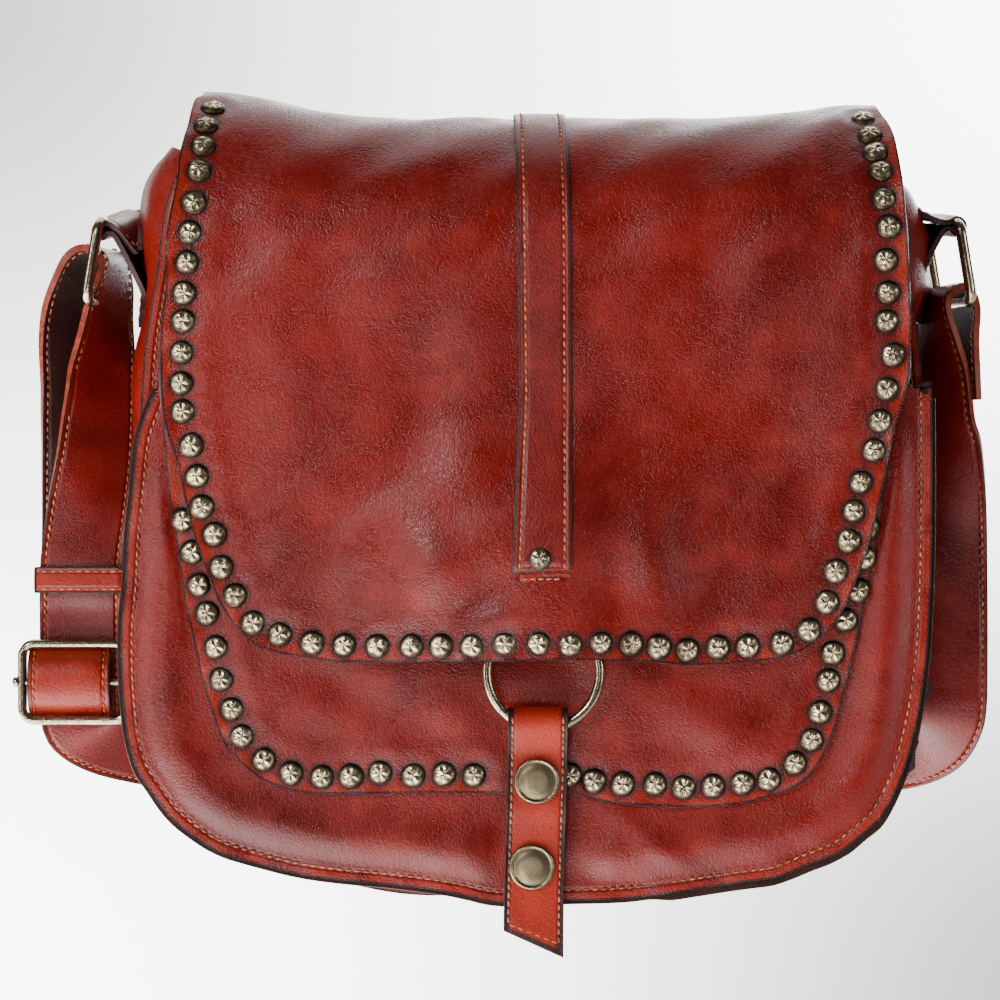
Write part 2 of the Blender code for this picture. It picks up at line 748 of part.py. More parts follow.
def build_pocket_flap():
    """The studded flap over the front pocket."""
    length = pocket_flap_length()
    bend_end = length - (POCKET_FLAP_HINGE_Z - POCKET_FLAP_BEND - POCKET_FLAP_BOTTOM_Z)
    rows = flap_rows(POCKET_FLAP_WIDTH_SHARES, length, POCKET_FLAP_HALF_WIDTH, 0.0, bend_end, 8)
    flap = sheet("pocket_flap", pocket_flap_point, rows, 8, 0.0, FLAP_THICKNESS, COGNAC)
    first_run = length - (MAIN_FLAP_BOTTOM_Z - POCKET_FLAP_BOTTOM_Z) * 2
    places = [spot for spot in edge_places(rows, STUD_INSET, STUD_PITCH, first_run)
              if abs(spot.x) > TAB_HALF_WIDTH + STUD_RADIUS]
    add_studs(flap, pocket_flap_point, places)
    put_origin(flap, (0.0, FRONT_PANEL_Y - GAP, POCKET_FLAP_HINGE_Z))


def build_centre_strip():
    """The stitched strip down the main flap, and the stud at its foot."""
    run_end = MAIN_BEND_LENGTH + HINGE_Z - STRIP_END_Z
    count = 26
    rows = [(mix(STRIP_START_RUN, run_end, step / count), STRIP_HALF_WIDTH) for step in range(count + 1)]
    piece = sheet("centre_strip", main_flap_point, rows, 4, GAP + STRIP_THICKNESS, STRIP_THICKNESS, TAN_RED)
    put_origin(piece, (0.0, BACK_FACE_Y, HINGE_Z))
    stud_z = STRIP_END_Z + STRIP_STUD_ABOVE_END
    face_y = main_flap_point(0.0, MAIN_BEND_LENGTH + HINGE_Z - stud_z).y
    centre = Vector((0.0, face_y - GAP - STRIP_THICKNESS - GAP, stud_z))
    profile = [
        (0.0, 0.0),
        (STUD_RADIUS, 0.0),
        (STUD_RADIUS, STUD_HEIGHT * (1 - STUD_SHOULDER_HEIGHT_SHARE)),
        (STUD_RADIUS * STUD_SHOULDER_SHARE, STUD_HEIGHT),
        (0.0, STUD_HEIGHT),
    ]
    lathe("strip_stud", profile, centre, ANTIQUE_BRASS)


def fold_stations(points):
    """Stations of a strip that lies across X and follows points in Y and Z."""
    stations = []
    for index, (y, z) in enumerate(points):
        ahead = points[min(index + 1, len(points) - 1)]
        behind = points[max(index - 1, 0)]
        along = Vector((0.0, ahead[0] - behind[0], ahead[1] - behind[1])).normalized()
        normal = along.cross(Vector((1.0, 0.0, 0.0))).normalized()
        stations.append((Vector((0.0, y, z)), Vector((1.0, 0.0, 0.0)), normal))
    return stations


def sag(half_width):
    """How far the round ring's wire drops away beside its middle."""
    return RING_RADIUS - math.sqrt(RING_RADIUS * RING_RADIUS - half_width * half_width)


def build_closure_ring():
    """The round ring, and the leather hanger behind the flap that carries it."""
    count = 32
    turns = [2 * math.pi * step / count for step in range(count)]
    line = [Vector((RING_RADIUS * math.sin(turn), RING_Y, RING_CENTRE_Z + RING_RADIUS * math.cos(turn)))
            for turn in turns]
    ring = wire_ring("closure_ring", line, Vector((0.0, 1.0, 0.0)), RING_WIRE, ANTIQUE_BRASS)
    put_origin(ring, (0.0, RING_Y, RING_TOP_Z))
    bend = RING_WIRE + HANGER_CLEARANCE + HANGER_THICKNESS / 2
    bend_z = RING_TOP_Z - sag(HANGER_HALF_WIDTH) + HANGER_CLEARANCE - RING_REST
    top_z = RING_TOP_Z + HANGER_RISE
    flap_face = main_flap_point(HANGER_HALF_WIDTH, MAIN_BEND_LENGTH + HINGE_Z - top_z).y
    seat_y = flap_face + FLAP_THICKNESS + GAP + HANGER_THICKNESS / 2
    points = [(seat_y, top_z), (seat_y, top_z - HANGER_FREE)]
    for step in range(9):
        turn = HALF_TURN * step / 8
        points.append((RING_Y - bend * math.cos(turn), bend_z - bend * math.sin(turn)))
    points.append((RING_Y + bend, top_z))
    strip("ring_hanger", fold_stations(points), HANGER_HALF_WIDTH, HANGER_THICKNESS, DARK_HIDE)


def tab_front_y():
    """Depth of the front layer's middle where both layers of the tab lie together."""
    return TAB_BACK_Y - TAB_THICKNESS - TAB_LAYER_GAP - TAB_THICKNESS / 2


def tab_lean(z):
    """How far the tab leans back towards the body below the pocket flap."""
    top = POCKET_FLAP_BOTTOM_Z - TAB_EDGE_CLEARANCE
    return TAB_LEAN * ease((top - z) / TAB_LEAN_FALL)


def build_closure_tab():
    """The tab folded over the ring, its tip cut on the slant, with holes for the press studs."""
    fold = TAB_FOLD_RADIUS + TAB_THICKNESS / 2
    fold_z = RING_BOTTOM_Z + sag(TAB_HALF_WIDTH) - (TAB_CLEARANCE - TAB_REST)
    close_z = RING_BOTTOM_Z - TAB_CLOSE_BELOW_RING
    back_y = RING_Y + fold
    front_y = tab_front_y()
    points = []
    low_steps = 8
    for step in range(low_steps + 1):
        z = mix(TAB_BACK_END_Z, close_z, step / low_steps)
        points.append((back_y + tab_lean(z), z))
    for step in range(9):
        turn = HALF_TURN * step / 8
        points.append((RING_Y + fold * math.cos(turn), fold_z + fold * math.sin(turn)))
    for step in range(1, 7):
        share = step / 6
        points.append((mix(RING_Y - fold, front_y, ease(share)), mix(fold_z, close_z, share)))
    for step in range(1, low_steps + 3):
        z = mix(close_z, TAB_TIP_Z, step / (low_steps + 2))
        points.append((front_y + tab_lean(z), z))
    tab = strip("closure_tab", fold_stations(points), TAB_HALF_WIDTH, TAB_THICKNESS, TAN_RED)
    for vertex in tab.data.vertices:
        if vertex.co.z < TAB_TIP_Z + GAP:
            vertex.co.z -= TAB_TIP_SKEW * vertex.co.x / TAB_HALF_WIDTH
    for snap_z in (UPPER_SNAP_Z, LOWER_SNAP_Z):
        depth = fold * 2 + TAB_THICKNESS
        hole = SNAP_BARREL_RADIUS + GAP
        profile = [(0.0, -depth), (hole, -depth), (hole, depth), (0.0, depth)]
        drill = lathe("drill", profile, Vector((0.0, back_y, snap_z)), DARK_HIDE)
        boolean(tab, drill, "DIFFERENCE")
    put_origin(tab, (0.0, RING_Y, RING_BOTTOM_Z))


def snap_cap(name, face_y, barrel_length, z):
    """A domed cap whose hollow barrel passes back through the leather."""
    profile = [
        (0.0, SNAP_CAP_HEIGHT),
        (SNAP_CAP_RADIUS * STUD_SHOULDER_SHARE, SNAP_CAP_HEIGHT * SNAP_DOME_SHARE),
        (SNAP_CAP_RADIUS, SNAP_CAP_RIM_HEIGHT),
        (SNAP_CAP_RADIUS, 0.0),
        (SNAP_BARREL_RADIUS, 0.0),
        (SNAP_BARREL_RADIUS, -barrel_length),
        (SNAP_BORE_RADIUS, -barrel_length),
        (SNAP_BORE_RADIUS, 0.0),
        (0.0, 0.0),
    ]
    lathe(name, profile, Vector((0.0, face_y - GAP, z)), ANTIQUE_BRASS)


def snap_stud(name, seat_y, post_length, z):
    """The lower half of a press stud: a base and the post that snaps into the cap."""
    profile = [
        (0.0, post_length),
        (SNAP_POST_RADIUS * STUD_SHOULDER_SHARE, post_length),
        (SNAP_POST_RADIUS, post_length - SNAP_POST_RADIUS * (1 - STUD_SHOULDER_SHARE)),
        (SNAP_POST_RADIUS, SNAP_BASE_HEIGHT),
        (SNAP_BASE_RADIUS, SNAP_BASE_HEIGHT),
        (SNAP_BASE_RADIUS, 0.0),
        (0.0, 0.0),
    ]
    lathe(name, profile, Vector((0.0, seat_y, z)), ANTIQUE_BRASS)


def build_press_studs():
    """The upper press stud shuts the fold, the lower one fastens the tab to the pocket panel."""
    both_layers = TAB_THICKNESS * 2 + TAB_LAYER_GAP
    upper_back = TAB_BACK_Y + tab_lean(UPPER_SNAP_Z)
    upper_front = upper_back - both_layers
    snap_cap("upper_snap_cap", upper_front, TAB_THICKNESS, UPPER_SNAP_Z)
    base_y = upper_back + GAP + SNAP_BASE_HEIGHT
    post = SNAP_BASE_HEIGHT + GAP + TAB_THICKNESS + TAB_LAYER_GAP + SNAP_POST_REACH
    snap_stud("upper_snap_stud", base_y, post, UPPER_SNAP_Z)
    lower_back = TAB_BACK_Y + tab_lean(LOWER_SNAP_Z)
    snap_cap("lower_snap_cap", lower_back - both_layers, both_layers, LOWER_SNAP_Z)
    socket = [
        (SNAP_BORE_RADIUS, 0.0),
        (SNAP_BASE_RADIUS, 0.0),
        (SNAP_BASE_RADIUS, -SNAP_SOCKET_HEIGHT),
        (SNAP_BORE_RADIUS, -SNAP_SOCKET_HEIGHT),
    ]
    lathe("lower_snap_socket", socket, Vector((0.0, lower_back + GAP, LOWER_SNAP_Z)), ANTIQUE_BRASS)
    seat_y = POCKET_PANEL_Y - GAP
    post = seat_y - (lower_back + GAP + SNAP_SOCKET_HEIGHT) + SNAP_LOWER_POST_REACH
    snap_stud("lower_snap_stud", seat_y, post, LOWER_SNAP_Z)


def ring_axis(side):
    """The way that a side ring's bars run: across the strap, front to back, turned in at the back."""
    return Vector((-side * math.sin(SIDE_RING_YAW), math.cos(SIDE_RING_YAW), 0.0))


def ring_drop(side):
    """The way from a side ring's upper bar to its lower bar."""
    outward = strap_outward(side, SIDE_RING_YAW)
    return outward * math.sin(SIDE_RING_LEAN) - Vector((0.0, 0.0, 1.0)) * math.cos(SIDE_RING_LEAN)


def upper_bar(side):
    ring_x = RIGHT_RING_X if side > 0 else LEFT_RING_X
    return Vector((side * ring_x, 0.0, SIDE_RING_Z))


def build_side(side, word):
    """One side ring with the leather loop that is sewn to the gusset."""
    axis = ring_axis(side)
    drop = ring_drop(side)
    centre = upper_bar(side) + drop * (SIDE_RING_REACH / 2)
    outline = rounded_rectangle(SIDE_RING_HALF_SPAN, SIDE_RING_REACH / 2, SIDE_RING_CORNER)
    line = [centre + axis * across - drop * up for across, up in outline]
    ring = wire_ring("side_ring_" + word, line, axis.cross(drop).normalized(), SIDE_WIRE, ANTIQUE_BRASS)
    put_origin(ring, upper_bar(side))

    bend = SIDE_WIRE + LOOP_CLEARANCE + LOOP_THICKNESS / 2
    flat = Vector((0.0, 1.0, 0.0))
    lie = GAP + LOOP_THICKNESS / 2

    def seat(z):
        slope = (gusset_wall_at(z + lie) - gusset_wall_at(z - lie)) / (lie * 2)
        return Vector((side * (gusset_wall_at(z) + lie * math.hypot(1.0, slope)), 0.0, z))

    def seated(start, end):
        return [(seat(mix(start, end, step / SEAT_STEPS)), flat) for step in range(SEAT_STEPS + 1)]

    def bridge(first, last):
        shares = [step / BRIDGE_STEPS for step in range(1, BRIDGE_STEPS)]
        return [(first[0].lerp(last[0], share), first[1].lerp(last[1], share)) for share in shares]

    upper = seated(LOOP_UPPER_SEAT_Z, LOOP_UPPER_LEAVE_Z)
    lower = seated(LOOP_LOWER_LEAVE_Z, LOOP_LOWER_SEAT_Z)
    wrap = []
    bar = upper_bar(side)
    for step in range(LOOP_STEPS + 1):
        turn = mix(LOOP_WRAP_START, LOOP_WRAP_END, step / LOOP_STEPS)
        spoke = strap_outward(side, SIDE_RING_YAW) * math.cos(turn) + Vector((0.0, 0.0, 1.0)) * math.sin(turn)
        wrap.append((bar + spoke * bend, axis))
    centres = upper + bridge(upper[-1], wrap[0]) + wrap + bridge(wrap[-1], lower[0]) + lower
    stations = ribbon_stations(centres, side)
    strip("ring_loop_" + word, stations, LOOP_HALF_WIDTH, LOOP_THICKNESS, TAN_RED)


def ribbon_stations(centres, side=1):
    """Stations of a strap from its centres and the ways across it."""
    stations = []
    for index, (centre, across) in enumerate(centres):
        ahead = centres[min(index + 1, len(centres) - 1)][0]
        behind = centres[max(index - 1, 0)][0]
        along = (ahead - behind).normalized()
        across = across.normalized()
        stations.append((centre, across, along.cross(across).normalized() * side))
    return stations


def strap_across(side, turn):
    """The way across the strap, from its outer edge to the edge that lies to the bag or the back."""
    return Vector((-side * math.sin(turn), math.cos(turn), 0.0))


def strap_outward(side, turn):
    return Vector((side * math.cos(turn), math.sin(turn), 0.0))


def side_run(side, share, join_z, side_x, side_y):
    """Middle of the doubled strap on one side, its turn and half the distance of its layers."""
    bar = upper_bar(side) + ring_drop(side) * SIDE_RING_REACH
    rise = RIGHT_LOOP_RISE if side > 0 else LEFT_LOOP_RISE
    z = mix(bar.z + rise, join_z, share)
    free_z = bar.z - SIDE_WIRE * 2
    twist = ease((free_z - z) / (free_z - join_z))
    turn = mix(SIDE_RING_YAW, QUARTER, twist)
    half = mix(STRAP_LOOP_RADIUS, STRAP_LAYER / 2, twist)
    middle = Vector((mix(bar.x, side * side_x, twist), mix(bar.y, side_y, twist), z))
    return middle, turn, half


def side_layers(side, join_z, side_x, side_y, end_z):
    """Centres of the strap up its outer layer, over the ring's lower bar and down its inner layer."""
    outer = []
    inner = []
    for step in range(STRAP_STEPS + 1):
        share = step / STRAP_STEPS
        middle, turn, half = side_run(side, share, join_z, side_x, side_y)
        across = strap_across(side, turn)
        away = strap_outward(side, turn) * half
        if middle.z > end_z - GAP:
            outer.append((middle + away, across))
        inner.append((middle - away, across))
    middle, turn, half = side_run(side, 0.0, join_z, side_x, side_y)
    over = []
    for step in range(1, LOOP_STEPS):
        swing = HALF_TURN * step / LOOP_STEPS
        spoke = strap_outward(side, turn) * math.cos(swing) + Vector((0.0, 0.0, 1.0)) * math.sin(swing)
        over.append((middle + spoke * half, strap_across(side, turn)))
    return outer[::-1] + over + inner


def slider_weave():
    """Centres of the strap from the keeper through the slider, in front of its middle bar."""
    across = strap_across(-1, QUARTER)
    pass_by = SLIDER_WIRE + GAP + STRAP_THICKNESS / 2
    frame_y = slider_y()
    bars = [
        (SLIDER_Z + SLIDER_HALF_HEIGHT, pass_by),
        (SLIDER_Z, -pass_by),
        (SLIDER_Z - SLIDER_HALF_HEIGHT, pass_by),
    ]
    centres = []
    for (above_z, above), (below_z, below) in zip(bars, bars[1:]):
        for step in range(4):
            share = step / 4
            centres.append((Vector((-LEFT_STRAP_X, frame_y + mix(above, below, ease(share)),
                                    mix(above_z, below_z, share))), across))
    centres.append((Vector((-LEFT_STRAP_X, frame_y + pass_by, bars[-1][0])), across))
    return centres


def slider_y():
    """Depth of the slider's frame, in front of both layers of the strap."""
    return LEFT_STRAP_Y - STRAP_LAYER / 2 - (SLIDER_WIRE + GAP + STRAP_THICKNESS / 2)


def bottom_turn(side, start):
    """Centres of the strap from a side run, round the lower corner, to the back of the bag."""
    back_y = BACK_FACE_Y + STRAP_BACK_CLEARANCE + STRAP_THICKNESS / 2
    edge_x = BODY_HALF_WIDTH + STRAP_TURN_OUT + STRAP_HALF_WIDTH / 2
    knots = []
    for across, back, down in BOTTOM_TURN_SHARES:
        knots.append((side * mix(abs(start.x), edge_x, across), mix(start.y, back_y, back),
                      mix(start.z, STRAP_BACK_Z, down)))
    knots.append((side * BODY_HALF_WIDTH, back_y, STRAP_BACK_Z))
    knots.append((side * STRAP_LAND_X, back_y, STRAP_BACK_Z))
    line = smooth_line(knots, TURN_STEPS)
    turned_by = len(line) - 1 - TURN_STEPS
    centres = []
    for index, point in enumerate(line):
        swing = QUARTER * ease(index / turned_by)
        centres.append((point, Vector((-side * math.cos(swing), 0.0, math.sin(swing)))))
    return centres


def build_strap():
    """The whole carrying strap, in one length from the slider over both rings."""
    front_y = LEFT_STRAP_Y - STRAP_LAYER / 2
    rear_y = LEFT_STRAP_Y + STRAP_LAYER / 2
    across = strap_across(-1, QUARTER)
    sewn_end = []
    for y, z in [
        (front_y, SLIDER_Z - STRAP_BELOW_BAR),
        (front_y, SLIDER_Z),
        (mix(front_y, rear_y, ease(1 / 2)), SLIDER_Z + SLIDER_HALF_HEIGHT / 2),
        (rear_y, SLIDER_Z + SLIDER_HALF_HEIGHT),
    ]:
        sewn_end.append((Vector((-LEFT_STRAP_X, y, z)), across))
    left = side_layers(-1, LEFT_JOIN_Z, LEFT_STRAP_X, LEFT_STRAP_Y, LEFT_JOIN_Z)
    left_turn = bottom_turn(-1, Vector((-LEFT_STRAP_X, front_y, STRAP_TURN_TOP_Z - STRAP_THICKNESS)))
    right = side_layers(1, RIGHT_JOIN_Z, RIGHT_STRAP_X, RIGHT_STRAP_Y, TAIL_END_Z)[::-1]
    right_turn = bottom_turn(1, Vector((RIGHT_STRAP_X, right[0][0].y, STRAP_TURN_TOP_Z)))[::-1]
    centres = sewn_end + left + slider_weave() + left_turn + right_turn + right
    length = sum((there[0] - here[0]).length for here, there in zip(centres, centres[1:]))
    print("strap length", round(length / MM), "mm")
    strip("strap", ribbon_stations(centres), STRAP_HALF_WIDTH, STRAP_THICKNESS, TAN_RED)


def build_keeper_and_slider():
    """The leather keeper round both layers of the strap, and the wire slider with its middle bar."""
    half_across = STRAP_HALF_WIDTH + KEEPER_CLEARANCE + KEEPER_THICKNESS / 2
    half_deep = (STRAP_LAYER + STRAP_THICKNESS) / 2 + KEEPER_CLEARANCE + KEEPER_THICKNESS / 2
    corner = KEEPER_THICKNESS
    centre = Vector((-LEFT_STRAP_X, LEFT_STRAP_Y, KEEPER_Z))
    line = [centre + Vector((x, y, 0.0)) for x, y in rounded_rectangle(half_across, half_deep, corner, 2)]
    up = Vector((0.0, 0.0, 1.0))
    stations = []
    for index, point in enumerate(line):
        along = (line[(index + 1) % len(line)] - line[index - 1]).normalized()
        stations.append((point, up, along.cross(up).normalized()))
    strip("strap_keeper", stations, KEEPER_HALF_HEIGHT, KEEPER_THICKNESS, TAN_RED, closed=True)

    half_across = STRAP_HALF_WIDTH + SLIDER_SIDE_CLEARANCE + SLIDER_WIRE
    centre = Vector((-LEFT_STRAP_X, slider_y(), SLIDER_Z))
    outline = rounded_rectangle(half_across, SLIDER_HALF_HEIGHT, SLIDER_CORNER)
    line = [centre + Vector((x, 0.0, z)) for x, z in outline]
    frame = wire_ring("slider_buckle", line, Vector((0.0, 1.0, 0.0)), SLIDER_WIRE, ANTIQUE_BRASS)
    knob_end = half_across + SLIDER_WIRE + SLIDER_KNOB_LENGTH
    reach = [
        (-knob_end, SLIDER_KNOB),
        (SLIDER_WIRE / 2 - half_across, SLIDER_KNOB),
        (SLIDER_WIRE / 2 - half_across, SLIDER_WIRE * MIDDLE_BAR_SHARE),
        (half_across, SLIDER_WIRE * MIDDLE_BAR_SHARE),
    ]
    rings = []
    for x, radius in reach:
        ring = []
        for side in range(WIRE_SIDES):
            turn = 2 * math.pi * (side + 0.5) / WIRE_SIDES
            ring.append(centre + Vector((x, radius * math.cos(turn), radius * math.sin(turn))))
        rings.append(ring)
    bar = loft("middle_bar", rings, ANTIQUE_BRASS)
    boolean(frame, bar, "UNION")


def stand_on_origin():
    """Bring the underside of the base, between its seam flanges, to the origin's height."""
    for piece in bpy.data.objects:
        piece.location.z -= SEAM_FLANGE


def main():
    clear_scene()
    build_body()
    build_main_flap()
    build_pocket_flap()
    build_centre_strip()
    build_closure_ring()
    build_closure_tab()
    build_press_studs()
    build_side(-1, "left")
    build_side(1, "right")
    build_strap()
    build_keeper_and_slider()
    stand_on_origin()


main()
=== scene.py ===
import json
import math

import bmesh
import bpy
import numpy as np
from bpy.props import FloatProperty, FloatVectorProperty, PointerProperty
from mathutils import Matrix, Vector


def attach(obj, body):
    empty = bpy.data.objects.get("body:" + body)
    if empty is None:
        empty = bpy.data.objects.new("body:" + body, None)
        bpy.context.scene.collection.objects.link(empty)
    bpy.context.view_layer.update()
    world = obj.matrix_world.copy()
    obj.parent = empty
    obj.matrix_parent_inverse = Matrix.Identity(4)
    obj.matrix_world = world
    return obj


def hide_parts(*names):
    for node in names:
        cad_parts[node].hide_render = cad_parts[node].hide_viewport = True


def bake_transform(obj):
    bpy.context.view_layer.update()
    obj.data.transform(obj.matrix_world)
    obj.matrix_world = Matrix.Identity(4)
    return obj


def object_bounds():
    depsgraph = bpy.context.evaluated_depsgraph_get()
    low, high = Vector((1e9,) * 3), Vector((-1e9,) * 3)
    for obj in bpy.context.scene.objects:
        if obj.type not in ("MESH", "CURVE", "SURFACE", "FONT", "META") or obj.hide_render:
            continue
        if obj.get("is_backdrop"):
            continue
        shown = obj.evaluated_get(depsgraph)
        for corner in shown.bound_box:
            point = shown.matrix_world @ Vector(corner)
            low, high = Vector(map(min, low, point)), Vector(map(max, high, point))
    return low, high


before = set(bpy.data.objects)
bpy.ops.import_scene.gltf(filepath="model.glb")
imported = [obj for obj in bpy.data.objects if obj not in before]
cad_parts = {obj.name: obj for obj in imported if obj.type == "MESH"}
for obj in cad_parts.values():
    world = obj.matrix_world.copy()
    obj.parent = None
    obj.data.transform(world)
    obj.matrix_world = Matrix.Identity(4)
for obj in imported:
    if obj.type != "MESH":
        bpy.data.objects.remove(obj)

bl_info = {
    "name": "Studded leather purse",
    "version": (1, 0, 0),
    "blender": (4, 5, 0),
    "location": "View3D > Sidebar > Purse",
    "description": "Builds the looks of a studded leather shoulder purse piece by piece",
    "category": "Add Mesh",
}

MM = 0.001
PI = math.pi

# The camera stands before the middle of the picture and looks along +Y.
# Measures in the picture are in pixels of a 1000 pixel frame.
VIEW_X = -10.7 * MM
VIEW_Z = 123.6 * MM
FRONT_Y = -58.8 * MM
CAMERA_REACH = 1.3
PIXEL = 0.325 * MM
MIDDLE_PIXEL = 500

# Places that are shared with the CAD frame
MIDDLE_X = 3 * MM
BODY_HALF_WIDTH = 131 * MM
BODY_HEIGHT = 246 * MM
MOUTH_TOP = 239 * MM
BACK_TOP = 207 * MM
BASE_DROP = 7 * MM
FRONT_PANEL_FACE = -36 * MM
BACK_PANEL_FACE = 36 * MM
POCKET_FACE = -50.7 * MM
FLAP_BEND_Y = -11.35 * MM
FLAP_BEND_Z = 207 * MM
FLAP_BEND = 47.4 * MM
FRONT_RUN = FLAP_BEND * PI
FLAP_END = 290 * MM
STRIP_FOOT = FRONT_RUN + 107 * MM
SLIT_RUN = FRONT_RUN + 108.4 * MM
POCKET_ROOT_Y = -36.35 * MM
POCKET_ROOT_Z = 169 * MM
POCKET_BEND = 12 * MM
POCKET_LEVEL = 5.8 * MM
POCKET_FLAP_END = 175 * MM
POCKET_FLAP_DEPTH = -54 * MM
POCKET_SEAM_DEPTH = -48 * MM
RING_X = 3.4 * MM
RING_Y = -60.5 * MM
RING_Z = 67.75 * MM
RING_RADIUS = 18.35 * MM
RING_WIRE = 1.62 * MM
SIDE_WIRE = 1.9 * MM
SIDE_YAW = math.radians(12)
SIDE_LEAN = math.radians(9.6)
SIDE_REACH = 27 * MM
SIDE_HALF_SPAN = 18.05 * MM
SIDE_BAR_Z = 217 * MM
SIDE_BAR_X = {-1: 141.5 * MM, 1: 139.6 * MM}
SLIDER = Vector((-153 * MM, -5.2 * MM, 62 * MM))
SLIDER_WIRE = 1.6 * MM
SLIDER_BAR_WIRE = 1.2 * MM
KEEPER = Vector((-153 * MM, -1 * MM, 96.5 * MM))
BACK_STRAP_Y = 37.75 * MM
BACK_STRAP_Z = 35 * MM

# Half the body's outline, from the mouth down, as shares of its half width and height
BODY_SHARES = [(0.870, 1.000), (0.924, 0.935), (0.950, 0.833), (0.977, 0.744), (0.989, 0.650),
               (0.997, 0.528), (1.000, 0.366), (0.985, 0.244), (0.943, 0.163), (0.874, 0.106),
               (0.771, 0.065), (0.611, 0.036), (0.440, 0.012), (0.300, 0.000), (0.150, 0.000)]

# Outlines read from the picture
FLAP_LEFT = [(203, 95), (195, 101), (187, 125), (179, 160), (176, 185), (166, 235), (166, 283), (161, 328),
             (161, 389), (165, 425), (176, 458), (185, 498), (194, 536), (208, 574), (221, 605),
             (234, 625)]
FLAP_BOTTOM = [(234, 625), (252, 643), (279, 653), (312, 658), (350, 662), (484, 661), (573, 660),
               (650, 662), (688, 665), (739, 663), (784, 657), (815, 643), (833, 625)]
FLAP_RIGHT = [(876, 108), (890, 127), (899, 158), (904, 194), (908, 245), (910, 294), (911, 339),
              (909, 377), (900, 413), (891, 447), (882, 492), (871, 536), (858, 576), (846, 605),
              (833, 625)]
FLAP_STUDS = [(213, 107), (206, 124), (203, 145), (199, 170), (194, 202), (190, 232), (187, 262),
              (184, 293), (183, 321), (182, 352), (181, 383), (183, 411), (191, 445), (197, 476),
              (202, 507), (214, 534), (221, 567), (235, 595), (253, 623), (280, 634), (312, 643),
              (344, 645), (377, 646), (411, 646), (441, 646), (472, 646), (505, 644), (538, 644),
              (570, 645), (601, 643), (632, 644), (659, 647), (688, 650), (718, 647), (748, 646),
              (782, 643), (809, 630), (827, 602), (836, 571), (849, 540), (854, 511), (861, 482),
              (874, 450), (880, 421), (887, 389), (893, 354), (887, 321), (888, 292), (886, 260),
              (889, 226), (884, 198), (881, 170), (875, 151), (870, 134), (863, 118)]
POCKET_FLAP_LEFT = [(163, 418), (165, 456), (170, 505), (176, 541), (185, 603), (194, 641), (201, 677),
                    (214, 718), (225, 745), (243, 765)]
POCKET_FLAP_BOTTOM = [(243, 765), (263, 780), (290, 790), (323, 794), (412, 793), (501, 793), (569, 792),
                      (595, 800), (625, 804), (694, 807), (739, 804), (775, 795), (802, 782)]
POCKET_FLAP_RIGHT = [(890, 418), (886, 480), (876, 540), (869, 581), (860, 621), (853, 655), (842, 700),
                     (833, 733), (820, 762), (802, 782)]
POCKET_FLAP_STUDS = [(183, 520), (192, 552), (199, 585), (207, 613), (216, 647), (221, 679), (232, 709),
                     (242, 736), (264, 760), (291, 773), (322, 777), (351, 776), (380, 773), (413, 775),
                     (444, 774), (474, 775), (570, 775), (594, 781), (623, 784), (655, 784), (684, 787),
                     (713, 786), (743, 783), (769, 779), (795, 763), (812, 740), (820, 712), (829, 680),
                     (833, 653), (846, 620), (858, 590), (864, 558), (868, 527)]
POCKET_LEFT = [(156, 389), (143, 420), (136, 447), (132, 492), (127, 536), (125, 581), (121, 625),
               (121, 670), (123, 702), (127, 736), (136, 769), (151, 792), (168, 816)]
POCKET_BOTTOM = [(168, 816), (189, 834), (218, 852), (256, 864), (301, 875), (345, 881), (390, 885),
                 (450, 893), (499, 903), (561, 901), (625, 899), (680, 892), (739, 883), (775, 878),
                 (806, 866), (840, 852), (862, 835), (880, 820)]
POCKET_RIGHT = [(931, 387), (932, 402), (932, 536), (929, 625), (925, 672), (918, 717), (907, 762),
                (895, 793), (880, 820)]
STRIP_SIDES = [(119, 513, 564), (216, 517, 571), (395, 519, 572), (572, 512, 572)]

# How far the gusset's wall stands out between its seams, by height, on the viewer's left and right
FULL_Z = np.array([-7, 20, 50, 100, 120, 140, 150, 160, 174, 184, 197, 211, 217, 226, 233, 239]) * MM
FULL_LEFT = np.array([0, 1.5, 3, 6, 8, 11, 12.5, 13.5, 13.5, 12.5, 12.6, 15.5, 16.5, 17.5, 16.5, 14.5]) * MM
FULL_RIGHT = np.array([0, 1.5, 3, 3.5, 4, 4.5, 5, 6, 7.5, 9.8, 15.3, 18.4, 16.8, 14, 9.5, 6]) * MM

# Strap on the viewer's left and right: middle x, y and z in millimetres and turn in degrees
LEFT_OUTER = [(-153, 2.8, 80, 90), (-153, 2.6, 85.5, 90), (-152.8, 0.9, 91, 90), (-152.6, 0.3, 98, 90),
              (-152.5, 0.4, 108, 89), (-152.6, 2.4, 120, 86), (-152.9, 3.5, 140, 76), (-154, 5, 160, 62),
              (-156, 3, 178, 46), (-156, 1, 191, 33), (-154, 0, 200.3, 25)]
LEFT_TOP = [(-151.2, 0, 206.2, 20), (-147.5, 0, 208.6, 16), (-143.4, 0, 207.2, 13)]
LEFT_INNER = [(-141.1, 0, 202.7, 12), (-143.1, 0, 190.4, 26), (-144.9, -1, 174.5, 39),
              (-146, -1.5, 164.3, 48), (-147.7, -1.5, 141.6, 60), (-150.2, -1.7, 122.6, 76),
              (-152.2, -2.4, 106, 88), (-152.7, -2.4, 97, 90), (-152.9, -1.6, 90.5, 90),
              (-153, 0, 85.5, 90), (-153, 0.2, 76, 90), (-153, 0.2, 62, 90), (-152.8, 0.2, 54, 90),
              (-152.4, 0.3, 47.4, 88)]
